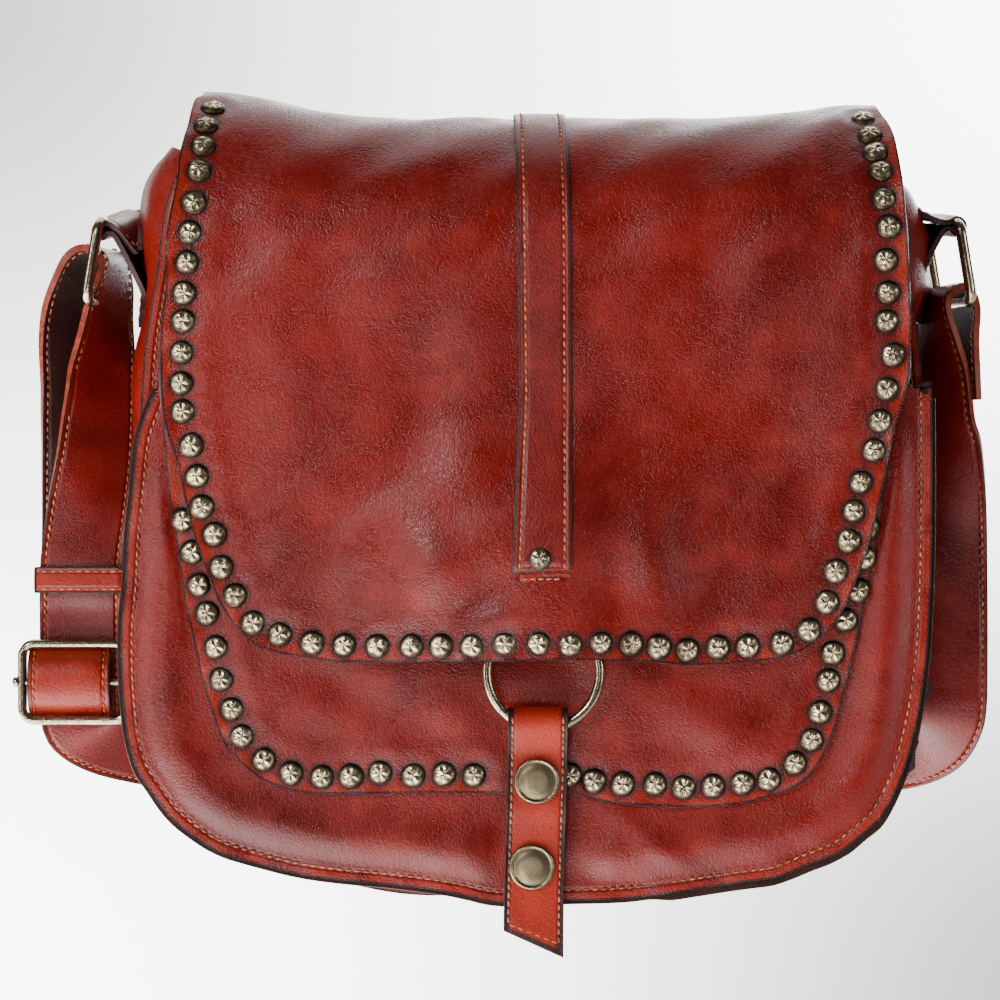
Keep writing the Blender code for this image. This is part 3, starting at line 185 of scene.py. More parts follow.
LOOP_PATH = [(-2.5, 75.4), (-2.8, 73.2), (-4.6, 71), (-7.2, 68.6), (-8.7, 65.4), (-9.1, 62), (-8.7, 58.6),
             (-7.2, 55.4), (-4.6, 53), (-2.8, 50.8), (-2.5, 48.6)]
LEFT_TURN = [(-149.6, 1.5, 44.6, 66), (-142.6, 8, 42.2, 36), (-132.4, 20, 39.2, 24), (-121, 31, 36.6, 16),
             (-108, 36.5, 35.2, 6)]
RIGHT_TURN = [(139.4, 0, 47.5, 80), (135.5, 9, 41, 50), (127, 23, 37.4, 20), (114, 34, 35.6, 6)]
RIGHT_OUTER = [(143.6, 0, 157.5, 33), (144.6, 0, 168, 25), (145.2, 0, 178, 19), (146.4, 0, 188, 15)]
RIGHT_TOP = [(145.4, 0, 193.6, 12), (142.0, 0, 195.6, 12), (138.6, 0, 193.4, 12)]
RIGHT_INNER = [(137.1, 0, 188, 12), (137.6, -0.4, 176, 26), (138.2, -0.8, 166, 38),
               (138.8, -1.2, 150.7, 46), (139.6, -1.8, 140.9, 64), (140.2, -2.4, 124, 78),
               (140.6, -2.4, 104, 90), (140.7, -2.4, 80, 90), (140.6, -2.4, 62, 90), (140.4, -2.4, 54, 90)]

# Ridges and hollows of the flaps: middle x and run, width, length and height in millimetres.
# The main flap counts the run from the top of its front, and the pocket flap from its seam.
FLAP_RIDGES = np.array([
    (-34, 104, 9, 13, 3.0), (38, 102, 9, 14, 3.0), (-14, 110, 7, 9, -0.7), (22, 110, 7, 9, -0.7),
    (-78, 30, 16, 26, 0.9), (-34, 14, 16, 16, 1.0), (-20, 72, 14, 30, 1.0), (98, 60, 12, 40, 1.0),
]) * MM + [0, FRONT_RUN, 0, 0, 0]
POCKET_RIDGES = np.array([
    (62, 132, 14, 9, 1.6), (-30, 122, 20, 12, 1.2), (26, 112, 9, 16, 0.9), (3, 138, 16, 14, -0.7),
]) * MM


def ease(share):
    """Rise smoothly from 0 to 1 as the share does."""
    share = np.clip(share, 0.0, 1.0)
    return share * share * (3.0 - 2.0 * share)


def bell(value, width, power=2):
    """1 where the value is 0, and falling off to both sides within the width."""
    return np.exp(-((value / width) ** power))


def travel_along(line):
    """Distance along a line from its start to each of its places."""
    return np.r_[0, np.cumsum(np.linalg.norm(np.diff(line, axis=0), axis=1))]


def unit(ways):
    return ways / np.linalg.norm(ways, axis=1)[:, None]


def scale_at(depth):
    """Metres in one pixel of the picture at a depth."""
    return PIXEL * (CAMERA_REACH + depth - FRONT_Y) / CAMERA_REACH


def from_picture(places, depth):
    """X and Z of places in the picture that lie at one depth."""
    places = np.asarray(places, float)
    scale = scale_at(depth)
    return np.stack([VIEW_X + (places[:, 0] - MIDDLE_PIXEL) * scale,
                     VIEW_Z + (MIDDLE_PIXEL - places[:, 1]) * scale], axis=1)


def smooth(points, shares):
    """Places on a smooth curve through points, at even or given shares of its length."""
    points = np.asarray(points, float)
    ends = np.vstack([2 * points[0] - points[1], points, 2 * points[-1] - points[-2]])
    t = np.linspace(0, 1, 14, endpoint=False)[:, None]
    dense = []
    for index in range(len(points) - 1):
        a, b, c, d = ends[index:index + 4]
        dense.append(0.5 * (2 * b + (c - a) * t + (2 * a - 5 * b + 4 * c - d) * t ** 2
                            + (3 * b - a - 3 * c + d) * t ** 3))
    dense = np.vstack(dense + [points[-1:]])
    travel = travel_along(dense[:, :3])
    if np.ndim(shares) == 0:
        shares = np.linspace(0, 1, shares)
    return np.stack([np.interp(shares * travel[-1], travel, column) for column in dense.T], axis=1)


def fine_shares(length, step):
    """Shares of a length, close together near both ends so that an edge can be rounded."""
    near = np.array([0.0, 0.4, 1.0, 2.0]) * MM
    first = 3.4 * MM
    inner = np.linspace(first, length - first, max(3, round((length - 2 * first) / step) + 1))
    return np.r_[near, inner, length - near[::-1]] / length


def waves(u, v, seed, low=20 * MM, high=110 * MM, count=8):
    """Gentle unevenness, about -1 to 1, over a surface."""
    draw = np.random.default_rng(seed)
    total = np.zeros(np.broadcast(u, v).shape)
    for _ in range(count):
        length = draw.uniform(low, high)
        turn = draw.uniform(0, 2 * PI)
        phase = draw.uniform(0, 2 * PI)
        total += np.sin(2 * PI * (u * math.cos(turn) + v * math.sin(turn)) / length + phase)
    return total / math.sqrt(count)


def distance_to(line, places):
    """Least distance from places to a line, both in two measures."""
    flat = places.reshape(-1, 2)
    best = np.full(len(flat), 1.0)
    for here, there in zip(line, line[1:]):
        way = there - here
        share = np.clip((flat - here) @ way / max(way @ way, 1e-12), 0, 1)
        best = np.minimum(best, np.linalg.norm(flat - here - share[:, None] * way, axis=1))
    return best.reshape(places.shape[:2])


def patch(left, right, bottom, step, counts):
    """A sheet between two sides, a straight top and a lower edge, its distance from the rim, and the rim."""
    top = np.array([left[0], (left[0] + right[0]) / 2, right[0]])
    vs = fine_shares(travel_along(left)[-1], step)
    us = fine_shares(bottom[-1, 0] - bottom[0, 0], step)
    west, east, north, south = smooth(left, vs), smooth(right, vs), smooth(top, us), smooth(bottom, us)
    u, v = us[None, :, None], vs[:, None, None]
    corners = (1 - v) * ((1 - u) * north[0] + u * north[-1]) + v * ((1 - u) * south[0] + u * south[-1])
    flat = (1 - u) * west[:, None] + u * east[:, None] + (1 - v) * north[None] + v * south[None] - corners
    along_side, along_bottom = counts
    rim = np.vstack([smooth(left, along_side), smooth(bottom, along_bottom)[1:],
                     smooth(right, along_side)[::-1][1:]])
    return flat, distance_to(rim, flat), rim


def inset(line, distance):
    """A line moved towards the middle of what it goes round."""
    along = unit(np.gradient(line, axis=0))
    side = np.stack([-along[:, 1], along[:, 0]], axis=1)
    if np.sum(side * (line.mean(axis=0) - line)) < 0:
        side = -side
    return line + side * distance


def rounded(half_wide, half_high, corner, steps):
    """A rectangle with round corners, from its lower right one."""
    line = []
    for right, up, start in ((1, -1, -PI / 2), (1, 1, 0), (-1, 1, PI / 2), (-1, -1, PI)):
        for turn in np.linspace(start, start + PI / 2, steps):
            line.append((right * (half_wide - corner) + corner * math.cos(turn),
                         up * (half_high - corner) + corner * math.sin(turn)))
    return line


def sizes():
    return bpy.context.scene.purse_sizes


def colours():
    return bpy.context.scene.purse_colours


# Meshes


def linked(name, data):
    piece = bpy.data.objects.new(name, data)
    bpy.context.scene.collection.objects.link(piece)
    return piece


def places_in(mesh):
    flat = np.empty(len(mesh.vertices) * 3)
    mesh.vertices.foreach_get("co", flat)
    return flat.reshape(-1, 3)


def grid_piece(name, places, facing, layers=None, uv=None, weld=False):
    """A piece whose mesh is a grid laid over an array of places."""
    rows, columns = places.shape[:2]
    layers = dict(layers or {})
    r, c = rows // 2, columns // 2
    across = places[r, min(c + 1, columns - 1)] - places[r, c]
    along = places[min(r + 1, rows - 1), c] - places[r, c]
    if uv is None:
        u = np.cumsum(np.linalg.norm(np.diff(places, axis=1, prepend=places[:, :1]), axis=2), axis=1)
        v = np.cumsum(np.linalg.norm(np.diff(places, axis=0, prepend=places[:1]), axis=2), axis=0)
        uv = np.stack([u - u.mean(axis=1, keepdims=True), v], axis=2)
    for layer in ("edge", "seam", "stud"):
        layers.setdefault(layer, np.full((rows, columns), 1.0))
    if np.dot(np.cross(across, along), facing) < 0:
        places = places[:, ::-1]
        uv = uv[:, ::-1]
        layers = {key: value[:, ::-1] for key, value in layers.items()}
    shape = bmesh.new()
    bmesh.ops.create_grid(shape, x_segments=columns - 1, y_segments=rows - 1, size=0.5)
    mesh = bpy.data.meshes.new(name)
    shape.to_mesh(mesh)
    shape.free()
    flat = places_in(mesh)
    if len(flat) != rows * columns:
        raise RuntimeError(f"{name}: the grid has {len(flat)} vertices, not {rows * columns}")
    column = np.rint((flat[:, 0] + 0.5) * (columns - 1)).astype(int)
    row = np.rint((flat[:, 1] + 0.5) * (rows - 1)).astype(int)
    mesh.vertices.foreach_set("co", places[row, column].ravel())
    corner = np.empty(len(mesh.loops), dtype=np.int32)
    mesh.loops.foreach_get("vertex_index", corner)
    sheet = mesh.uv_layers.new(name="UVMap")
    sheet.data.foreach_set("uv", uv[row[corner], column[corner]].ravel())
    for layer, values in layers.items():
        attribute = mesh.attributes.new(layer, "FLOAT", "POINT")
        attribute.data.foreach_set("value", values[row, column].astype(float))
    if weld:
        shape = bmesh.new()
        shape.from_mesh(mesh)
        bmesh.ops.remove_doubles(shape, verts=shape.verts, dist=0.002 * MM)
        shape.to_mesh(mesh)
        shape.free()
    mesh.shade_smooth()
    return linked(name, mesh)


def thicken(piece, thickness, looks):
    """Give a hide its thickness, its flesh side and its painted, rounded edge."""
    for finish in looks:
        piece.data.materials.append(finish)
    solid = piece.modifiers.new("Thickness", "SOLIDIFY")
    solid.thickness = thickness
    solid.offset = -1
    solid.use_quality_normals = True
    solid.material_offset = 1
    solid.material_offset_rim = 2
    edge = piece.modifiers.new("Edge", "BEVEL")
    edge.width = sizes().edge_rounding
    edge.segments = 2
    edge.limit_method = "ANGLE"
    edge.angle_limit = math.radians(50)
    edge.harden_normals = True
    return piece


def put_on(piece, body, nodes=()):
    """Hang a piece on the body it rides on and hide the CAD parts it stands for."""
    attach(piece, body)
    if nodes:
        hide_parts(*nodes)
    return piece


def mesh_piece(name, shape, finish):
    """A named piece from a finished bmesh."""
    mesh = bpy.data.meshes.new(name)
    shape.to_mesh(mesh)
    shape.free()
    mesh.shade_smooth()
    mesh.materials.append(finish)
    return linked(name, mesh)


def wire(name, line, radius, closed=True, dips=()):
    """A round metal wire along a line, with a slight dip in its thickness where its ends meet."""
    curve = bpy.data.curves.new(name, "CURVE")
    curve.dimensions = "3D"
    curve.bevel_depth = radius
    curve.bevel_resolution = 5
    curve.use_fill_caps = not closed
    spline = curve.splines.new("POLY")
    spline.points.add(len(line) - 1)
    for index, (point, place) in enumerate(zip(spline.points, line)):
        point.co = (*place, 1)
        point.radius = 0.9 if index in dips else 1
    spline.use_cyclic_u = closed
    made = linked(name, curve)
    bpy.context.view_layer.update()
    mesh = bpy.data.meshes.new_from_object(made.evaluated_get(bpy.context.evaluated_depsgraph_get()))
    bpy.data.objects.remove(made, do_unlink=True)
    bpy.data.curves.remove(curve)
    mesh.name = name
    mesh.shade_smooth()
    mesh.materials.clear()
    mesh.materials.append(look("nickel"))
    return linked(name, mesh)


def stitches(name, lines, pitch=None):
    """Thread along lines of places and normals, one short swelling stitch after another."""
    size = sizes()
    pitch = pitch or size.stitch_pitch
    shape = bmesh.new()
    pattern = bmesh.new()
    bmesh.ops.create_uvsphere(pattern, u_segments=6, v_segments=6, radius=1)
    stitch = bpy.data.meshes.new(name + "_pattern")
    pattern.to_mesh(stitch)
    pattern.free()
    draw = np.random.default_rng(len(lines) + 3)
    for places, normals in lines:
        travel = travel_along(places)
        count = max(1, int(travel[-1] / pitch))

        def at(distance, values):
            return Vector([np.interp(distance, travel, values[:, k]) for k in range(3)])

        for number in range(count):
            middle = (number + 0.5) * travel[-1] / count
            start, end = (at(middle + offset, places) for offset in (-0.3 * pitch, 0.3 * pitch))
            up = at(middle, normals).normalized()
            along = (end - start).normalized()
            side = up.cross(along).normalized()
            along = (along + side * draw.normal(0.09, 0.05)).normalized()
            side = up.cross(along).normalized()
            long = size.stitch_pitch * 0.39 * draw.uniform(0.9, 1.06)
            wide = size.thread * 0.5 * draw.uniform(0.9, 1.1)
            matrix = Matrix((along * long, side * wide, up * wide * 0.8)).transposed().to_4x4()
            matrix.translation = (start + end) / 2 + up * size.thread * 0.12
            stitch.transform(matrix)
            shape.from_mesh(stitch)
            stitch.transform(matrix.inverted())
    bpy.data.meshes.remove(stitch)
    return mesh_piece(name, shape, look("thread"))


def sew(name, lines, body, pitch=None):
    """Stitch along lines, with the thread riding on a body."""
    return put_on(stitches(name, lines, pitch), body)


def studs(name, spots, seed):
    """Domed studs with crumpled stars, each on a spot given as its centre, normal and way across."""
    size = sizes()
    draw = np.random.default_rng(seed)
    rho = np.array([0.001, 0.16, 0.32, 0.46, 0.58, 0.70, 0.82, 0.92, 0.985, 1.0])
    whole = bmesh.new()
    stud = bpy.data.meshes.new(name + "_pattern")
    for centre, up, across in spots:
        shape = bmesh.new()
        patina = shape.verts.layers.float.new("patina")
        side = up.cross(across).normalized()
        across = side.cross(up).normalized()
        points = int(draw.integers(4, 7))
        phase = draw.uniform(0, 2 * PI)
        radius = size.stud_diameter / 2 * draw.uniform(0.96, 1.04)
        tilt = draw.normal(0, 0.05, 2)
        made = bmesh.ops.create_grid(shape, x_segments=24, y_segments=len(rho) - 1, size=0.5)["verts"]
        for vertex in made:
            turn = (vertex.co.x + 0.5) * 2 * PI
            share = rho[round((vertex.co.y + 0.5) * (len(rho) - 1))]
            dome = (1 - share ** 2.6) ** 0.62
            star = math.cos(points * turn + phase) * math.sin(PI * min(share / 0.85, 1)) ** 1.5
            dent = math.cos(turn * 2 + phase * 3) * share * (1 - share)
            height = size.stud_height * (dome * 0.94 + star * 0.16 + dent * 0.16) - 0.15 * MM * (share > 0.99)
            out = radius * share * (1 + 0.02 * math.cos(3 * turn + phase))
            flat = across * math.cos(turn) * out + side * math.sin(turn) * out
            lean = flat.dot(across) * tilt[0] + flat.dot(side) * tilt[1]
            vertex.co = centre + flat + up * (height + lean)
            vertex[patina] = share - star * 0.12
        bmesh.ops.remove_doubles(shape, verts=shape.verts, dist=0.02 * MM)
        bmesh.ops.recalc_face_normals(shape, faces=shape.faces)
        shape.to_mesh(stud)
        shape.free()
        whole.from_mesh(stud)
    bpy.data.meshes.remove(stud)
    return mesh_piece(name, whole, look("stud"))


def spun(name, profile, centre, up, finish, sides=40):
    """A round piece spun from a profile of radius and height in millimetres."""
    shape = bmesh.new()
    patina = shape.verts.layers.float.new("patina")
    turned = Vector((0, 0, 1)).rotation_difference(up).to_matrix().to_4x4()
    turned.translation = centre
    widest = max(radius for radius, height in profile) * MM
    line = [shape.verts.new((max(radius * MM, 1e-6), 0, height * MM)) for radius, height in profile]
    for vertex in line:
        vertex[patina] = vertex.co.x / widest
    edges = [shape.edges.new(pair) for pair in zip(line, line[1:])]
    bmesh.ops.spin(shape, geom=line + edges, cent=(0, 0, 0), axis=(0, 0, 1), angle=2 * PI, steps=sides)
    bmesh.ops.remove_doubles(shape, verts=shape.verts, dist=0.01 * MM)
    bmesh.ops.transform(shape, matrix=turned, verts=shape.verts)
    bmesh.ops.recalc_face_normals(shape, faces=shape.faces)
    return mesh_piece(name, shape, finish)


def ribbon(name, stations, half_width, thickness, looks, facing, seed, seam, step=1.1 * MM, ripple=0.0,
           weld=False):
    """A leather strip through stations of centre and way across.

    Its grain side faces the given way at its start. Returns the piece, the lines that its thread follows,
    and its centres, ways across and normals.
    """
    crown = 0.25 * MM
    centres = np.array([station[0] for station in stations])
    across = np.array([station[1] for station in stations])
    length = travel_along(centres)[-1]
    shares = np.linspace(0, 1, max(8, round(length / step))) if weld else fine_shares(length, step)
    both = smooth(np.hstack([centres, across]), shares)
    centres, across = both[:, :3], unit(both[:, 3:])
    along = np.gradient(centres, axis=0)
    if weld:
        along[0] = along[-1] = centres[1] - centres[-2]
    normal = unit(np.cross(across, unit(along)))
    if np.dot(normal[2], facing) < 0:
        normal = -normal
    us = (fine_shares(2 * half_width, 1.3 * MM) * 2 - 1) * half_width
    travel = travel_along(centres)
    u, run = np.broadcast_arrays(us[None], travel[:, None])
    bend = waves(us[None], travel[:, None], seed, 14 * MM, 60 * MM) * ripple
    lift = thickness / 2 - crown * (np.abs(us) / half_width)[None] ** 4 + bend
    places = centres[:, None] + across[:, None] * us[None, :, None] + normal[:, None] * lift[:, :, None]
    sides = half_width - np.abs(u)
    edge = sides if weld else np.minimum(sides, np.minimum(run, travel[-1] - run))
    piece = grid_piece(name, places, normal[len(normal) // 2], {"edge": edge, "seam": np.abs(sides - seam)},
                       np.stack([u, run], axis=2), weld)
    thicken(piece, thickness, looks)
    lines = [(centres + across * u + normal * (thickness / 2 - crown * 0.6), normal)
             for u in (seam - half_width, half_width - seam)]
    return piece, lines, (centres, across, normal)


# Looks


def fill(tree, made, inputs):
    """Link or set the inputs of a shader node."""
    for key, value in inputs.items():
        if isinstance(value, bpy.types.NodeSocket):
            tree.links.new(value, made.inputs[key])
        else:
            made.inputs[key].default_value = value
    return made


def node(tree, kind, inputs=None, **settings):
    """Add a shader node, set it up and link or fill its inputs."""
    made = tree.nodes.new("ShaderNode" + kind)
    for key, value in settings.items():
        setattr(made, key, value)
    return fill(tree, made, inputs or {})


def material(name):
    """An empty material with its shader and output, and the places that its patterns read."""
    made = bpy.data.materials.new(name)
    made.use_nodes = True
    tree = made.node_tree
    tree.nodes.clear()
    shader = node(tree, "BsdfPrincipled")
    node(tree, "OutputMaterial", {"Surface": shader.outputs[0]})
    return made, tree, shader, node(tree, "TexCoord").outputs["Object"]


def scaled(tree, value, low, high, to_low=0.0, to_high=1.0):
    """A value mapped smoothly from one range to another."""
    made = node(tree, "MapRange", {"Value": value, "From Min": low, "From Max": high, "To Min": to_low,
                                   "To Max": to_high}, interpolation_type="SMOOTHSTEP")
    return made.outputs["Result"]


def times(tree, first, second, operation="MULTIPLY"):
    return node(tree, "Math", {0: first, 1: second}, operation=operation).outputs[0]


def plus(tree, first, second):
    return times(tree, first, second, "ADD")


def blended(tree, share, first, second):
    """A colour mixed from two."""
    first, second = (value if isinstance(value, bpy.types.NodeSocket) else (*tuple(value)[:3], 1)
                     for value in (first, second))
    return node(tree, "Mix", {0: share, 6: first, 7: second}, data_type="RGBA").outputs[2]


def layer(tree, name):
    return node(tree, "Attribute", attribute_name=name).outputs["Fac"]


def noise(tree, where, scale, detail=3.0, rough=0.55, distortion=0.0):
    return node(tree, "TexNoise", {"Vector": where, "Scale": scale, "Detail": detail, "Roughness": rough,
                                   "Distortion": distortion}).outputs["Fac"]


def drifted(tree, where, scale, detail, reach):
    """Places pushed about by noise, so that cells on them bend."""
    cloud = node(tree, "TexNoise", {"Vector": where, "Scale": scale, "Detail": detail}).outputs["Color"]
    shift = node(tree, "VectorMath", {0: cloud, "Scale": reach}, operation="SCALE").outputs[0]
    return node(tree, "VectorMath", {0: where, 1: shift}, operation="ADD").outputs[0]


def cells(tree, where, scale, feature="SMOOTH_F1", **inputs):
    made = node(tree, "TexVoronoi", {"Vector": where, "Scale": scale, **inputs}, feature=feature)
    return made.outputs["Distance"]


def bump(tree, height, strength, distance, over=None):
    inputs = {"Height": height, "Strength": strength, "Distance": distance}
    if over is not None:
        inputs["Normal"] = over
    return node(tree, "Bump", inputs).outputs[0]


def leather(name, dark, mid, light, grain=1.0, gloss=0.30, band=0.7 * MM, wear=8 * MM, shine=0.38):
    """Pebbled hide: mottled dye, bright worn edges, painted shade in a ring round each stud and a pressed
    line at the thread.
    """
    made, tree, shader, where = material(name)
    stud_shade_and_paint = colours().edge_paint_and_stud_shade
    edge, seam, stud = (layer(tree, key) for key in ("edge", "seam", "stud"))
    patch_of_dye = noise(tree, where, 80, 4)
    tone = plus(tree, times(tree, noise(tree, where, 15, 3, 0.5, 0.3), 0.62), times(tree, patch_of_dye, 0.38))
    bent = drifted(tree, where, 420.0, 2.0, 0.0012)
    cell = 1 / (sizes().grain * grain)
    valley = scaled(tree, cells(tree, bent, cell, Smoothness=0.35), 0.32, 0.72)
    big = scaled(tree, cells(tree, bent, cell * 0.42, Smoothness=0.3), 0.3, 0.8)
    cracks = cells(tree, drifted(tree, where, 130.0, 3.0, 0.010), 420.0, "DISTANCE_TO_EDGE")
    calm = plus(tree, times(tree, scaled(tree, noise(tree, where, 38, 2), 0.38, 0.62), -1.0), 1.0)
    crease = times(tree, scaled(tree, cracks, 0.0, 0.10), calm, "MAXIMUM")
    worn = times(tree, scaled(tree, edge, wear, 0.6 * MM), scaled(tree, patch_of_dye, 0.30, 0.60))
    base = blended(tree, scaled(tree, tone, 0.30, 0.62), dark, mid)
    for share, tint in (
            (times(tree, worn, 0.8), light),
            (times(tree, scaled(tree, patch_of_dye, 0.55, 0.78), 0.35), light),
            (times(tree, valley, 0.30), dark),
            (times(tree, scaled(tree, crease, 1.0, 0.0), 0.15), dark),
            # Painted shade: a dark ring in the dimple round each stud, in the edge paint's colour
            (times(tree, scaled(tree, stud, 5.6 * MM, 4.0 * MM), 0.85), stud_shade_and_paint),
            (times(tree, scaled(tree, seam, 0.9 * MM, 0.2 * MM), 0.5), dark),
            (scaled(tree, edge, band * 1.2, band * 0.8), stud_shade_and_paint)):
        base = blended(tree, share, base, tint)
    rough = scaled(tree, patch_of_dye, 0.3, 0.7, gloss - 0.05, gloss + 0.08)
    rough = plus(tree, rough, times(tree, valley, 0.07))
    grain_height = plus(tree, times(tree, valley, -1.0), times(tree, noise(tree, where, 3200, 2), 0.25))
    grain_height = plus(tree, grain_height, times(tree, big, -0.5))
    folds = plus(tree, times(tree, crease, 0.22), times(tree, patch_of_dye, 0.5))
    pressed = scaled(tree, seam, 0.1 * MM, 1.3 * MM)
    relief = bump(tree, grain_height, 0.7, 0.075 * MM * grain)
    relief = bump(tree, pressed, 1.0, 0.35 * MM, bump(tree, folds, 0.6, 0.35 * MM, relief))
    fill(tree, shader, {"Base Color": base, "Roughness": rough, "Specular IOR Level": shine,
                        "Normal": relief})
    return made


def flesh(name, tint):
    """The rough inner side of a hide."""
    made, tree, shader, where = material(name)
    fibre = noise(tree, where, 900, 5, 0.7)
    share = scaled(tree, plus(tree, fibre, noise(tree, where, 60)), 0.8, 1.2)
    fill(tree, shader, {"Base Color": blended(tree, share, [channel * 0.45 for channel in tint[:3]], tint),
                        "Roughness": 0.85, "Specular IOR Level": 0.2,
                        "Normal": bump(tree, fibre, 0.6, 0.3 * MM)})
    return made


def paint(name, tint):
    """Painted and burnished edge."""
    made, tree, shader, where = material(name)
    streak = noise(tree, where, 500, 4, 0.6)
    light = [channel * 2.2 for channel in tint[:3]]
    fill(tree, shader, {"Base Color": blended(tree, scaled(tree, streak, 0.4, 0.75), tint, light),
                        "Roughness": scaled(tree, streak, 0.3, 0.7, 0.36, 0.55), "Specular IOR Level": 0.3,
                        "Normal": bump(tree, streak, 0.5, 0.15 * MM)})
    return made


def thread(name, tint):
    """Waxed thread with its twist."""
    made, tree, shader, where = material(name)
    share = scaled(tree, noise(tree, where, 120, 2), 0.35, 0.65)
    fill(tree, shader, {"Base Color": blended(tree, share, [channel * 0.4 for channel in tint[:3]], tint),
                        "Roughness": 0.55, "Normal": bump(tree, noise(tree, where, 2400, 2), 0.6, 0.12 * MM)})
    return made


def metal(name, bright, dull, rough, patina=0.0):
    """Worn plated metal: brighter where it is rubbed, darker in its hollows."""
    made, tree, shader, where = material(name)
    cloud = noise(tree, where, 260, 5, 0.65)
    fine = noise(tree, where, 2600, 4, 0.7)
    share = plus(tree, times(tree, cloud, 0.6), times(tree, fine, 0.4))
    share = times(tree, scaled(tree, share, 0.42, 0.62), 0.55)
    if patina:
        rim = times(tree, scaled(tree, layer(tree, "patina"), 0.52, 0.86), patina)
        share = node(tree, "Math", {0: share, 1: rim}, operation="ADD", use_clamp=True).outputs[0]
    fill(tree, shader, {"Base Color": blended(tree, share, bright, dull), "Metallic": 1.0,
                        "Roughness": scaled(tree, share, 0.0, 1.0, rough, rough + 0.28),
                        "Normal": bump(tree, plus(tree, cloud, fine), 0.35, 0.08 * MM)})
    return made


def look(kind):
    """A named look, made once and shared."""
    name = "purse_" + kind
    made = bpy.data.materials.get(name)
    if made:
        return made
    tint = colours()
    red = (name, tint.hide_dark, tint.hide_mid, tint.hide_light)
    orange = (name, tint.hide_mid, tint.tan, tint.tan_light)
    dark = (name, tint.lining, tint.lining, tint.hide_dark)
    recipes = {
        "cognac": lambda: leather(*red, wear=5 * MM),
        "flap": lambda: leather(*red, grain=1.1, gloss=0.27),
        "tan": lambda: leather(*orange, grain=0.85, wear=2 * MM),
        "tab": lambda: leather(*orange, grain=0.8, gloss=0.40, band=2.1 * MM, wear=2 * MM, shine=0.25),
        "strap": lambda: leather(*red, grain=0.85, wear=2 * MM),
        "strip": lambda: leather(*red, grain=0.85, band=1.0 * MM, wear=2.6 * MM),
        "lining": lambda: leather(*dark, grain=0.85, gloss=0.46, wear=2 * MM),
        "flesh": lambda: flesh(name, tint.flesh),
        "edge": lambda: paint(name, tint.edge_paint_and_stud_shade),
        "raw": lambda: paint(name, tint.raw_edge),
        "thread": lambda: thread(name, tint.thread),
        "stud": lambda: metal(name, tint.brass, tint.patina, 0.20, 0.9),
        "cap": lambda: metal(name, tint.cap, tint.patina, 0.30),
        "rim": lambda: metal(name, tint.cap, tint.patina, 0.24),
        "nickel": lambda: metal(name, tint.nickel, tint.patina, 0.16),
    }
    return recipes[kind]()


def hide_looks(front, back="flesh", rim="edge"):
    return look(front), look(back), look(rim)


# Shapes of the flaps


def flap_swell(x, z):
    """How far the main flap stands off over the ring's hanger."""
    return 9.75 * MM * bell(x, 46 * MM) * ease((161 * MM - z) / (61 * MM))


def main_flap_place(x, run, lift=0.0):
    """A place on the main flap by its run from the seam at the back, over the top and down the front."""
    turn = np.clip(run / FLAP_BEND, 0, PI)
    over = np.maximum(run - FRONT_RUN, 0)
    crest = -2.5 + 9.0 * ease((-x - 51 * MM) / (60 * MM)) + 4.6 * ease((x - 56 * MM) / (60 * MM))
    radius = FLAP_BEND + crest * MM * np.sin(turn) ** 2 + lift
    z = FLAP_BEND_Z + radius * np.sin(turn) - over
    y = FLAP_BEND_Y + radius * np.cos(turn) - flap_swell(x, z) * (turn >= PI - 1e-6)
    return np.stack([x + 0 * y, y, z + 0 * x], axis=-1)


def pocket_flap_place(x, run, lift=0.0):
    """A place on the pocket flap by its run from its seam."""
    turn = np.clip((run - POCKET_LEVEL) / POCKET_BEND, 0, PI / 2)
    down = np.maximum(run - POCKET_LEVEL - POCKET_BEND * PI / 2, 0)
    radius = POCKET_BEND + lift
    y = POCKET_ROOT_Y - np.minimum(run, POCKET_LEVEL) - radius * np.sin(turn)
    z = POCKET_ROOT_Z - POCKET_BEND + radius * np.cos(turn) - down
    return np.stack([x + 0 * y, y, z + 0 * x], axis=-1)


FACE_RUNS = {
    main_flap_place: np.linspace(FRONT_RUN / 2, FLAP_END, 600),
    pocket_flap_place: np.linspace(POCKET_LEVEL + POCKET_BEND * PI / 2, POCKET_FLAP_END, 600),
}


def on_flap(place, spots):
    """X and run on the face of a flap of spots in the picture."""
    runs = FACE_RUNS[place]
    found = []
    for px, py in spots:
        x = VIEW_X + (px - MIDDLE_PIXEL) * PIXEL
        for _ in range(4):
            path = place(np.full_like(runs, x), runs)
            rows = MIDDLE_PIXEL - (path[:, 2] - VIEW_Z) / scale_at(path[:, 1])
            run = np.interp(py, rows, runs)
            x = VIEW_X + (px - MIDDLE_PIXEL) * scale_at(np.interp(py, rows, path[:, 1]))
        found.append((x, run))
    return np.array(found)


def normals_of(place, spots):
    """Outward normals of a flap at places given as x and run."""
    low = place(spots[:, 0], spots[:, 1])
    side = place(spots[:, 0] + 0.2 * MM, spots[:, 1]) - low
    down = place(spots[:, 0], spots[:, 1] + 0.2 * MM) - low
    return unit(np.cross(down, side))


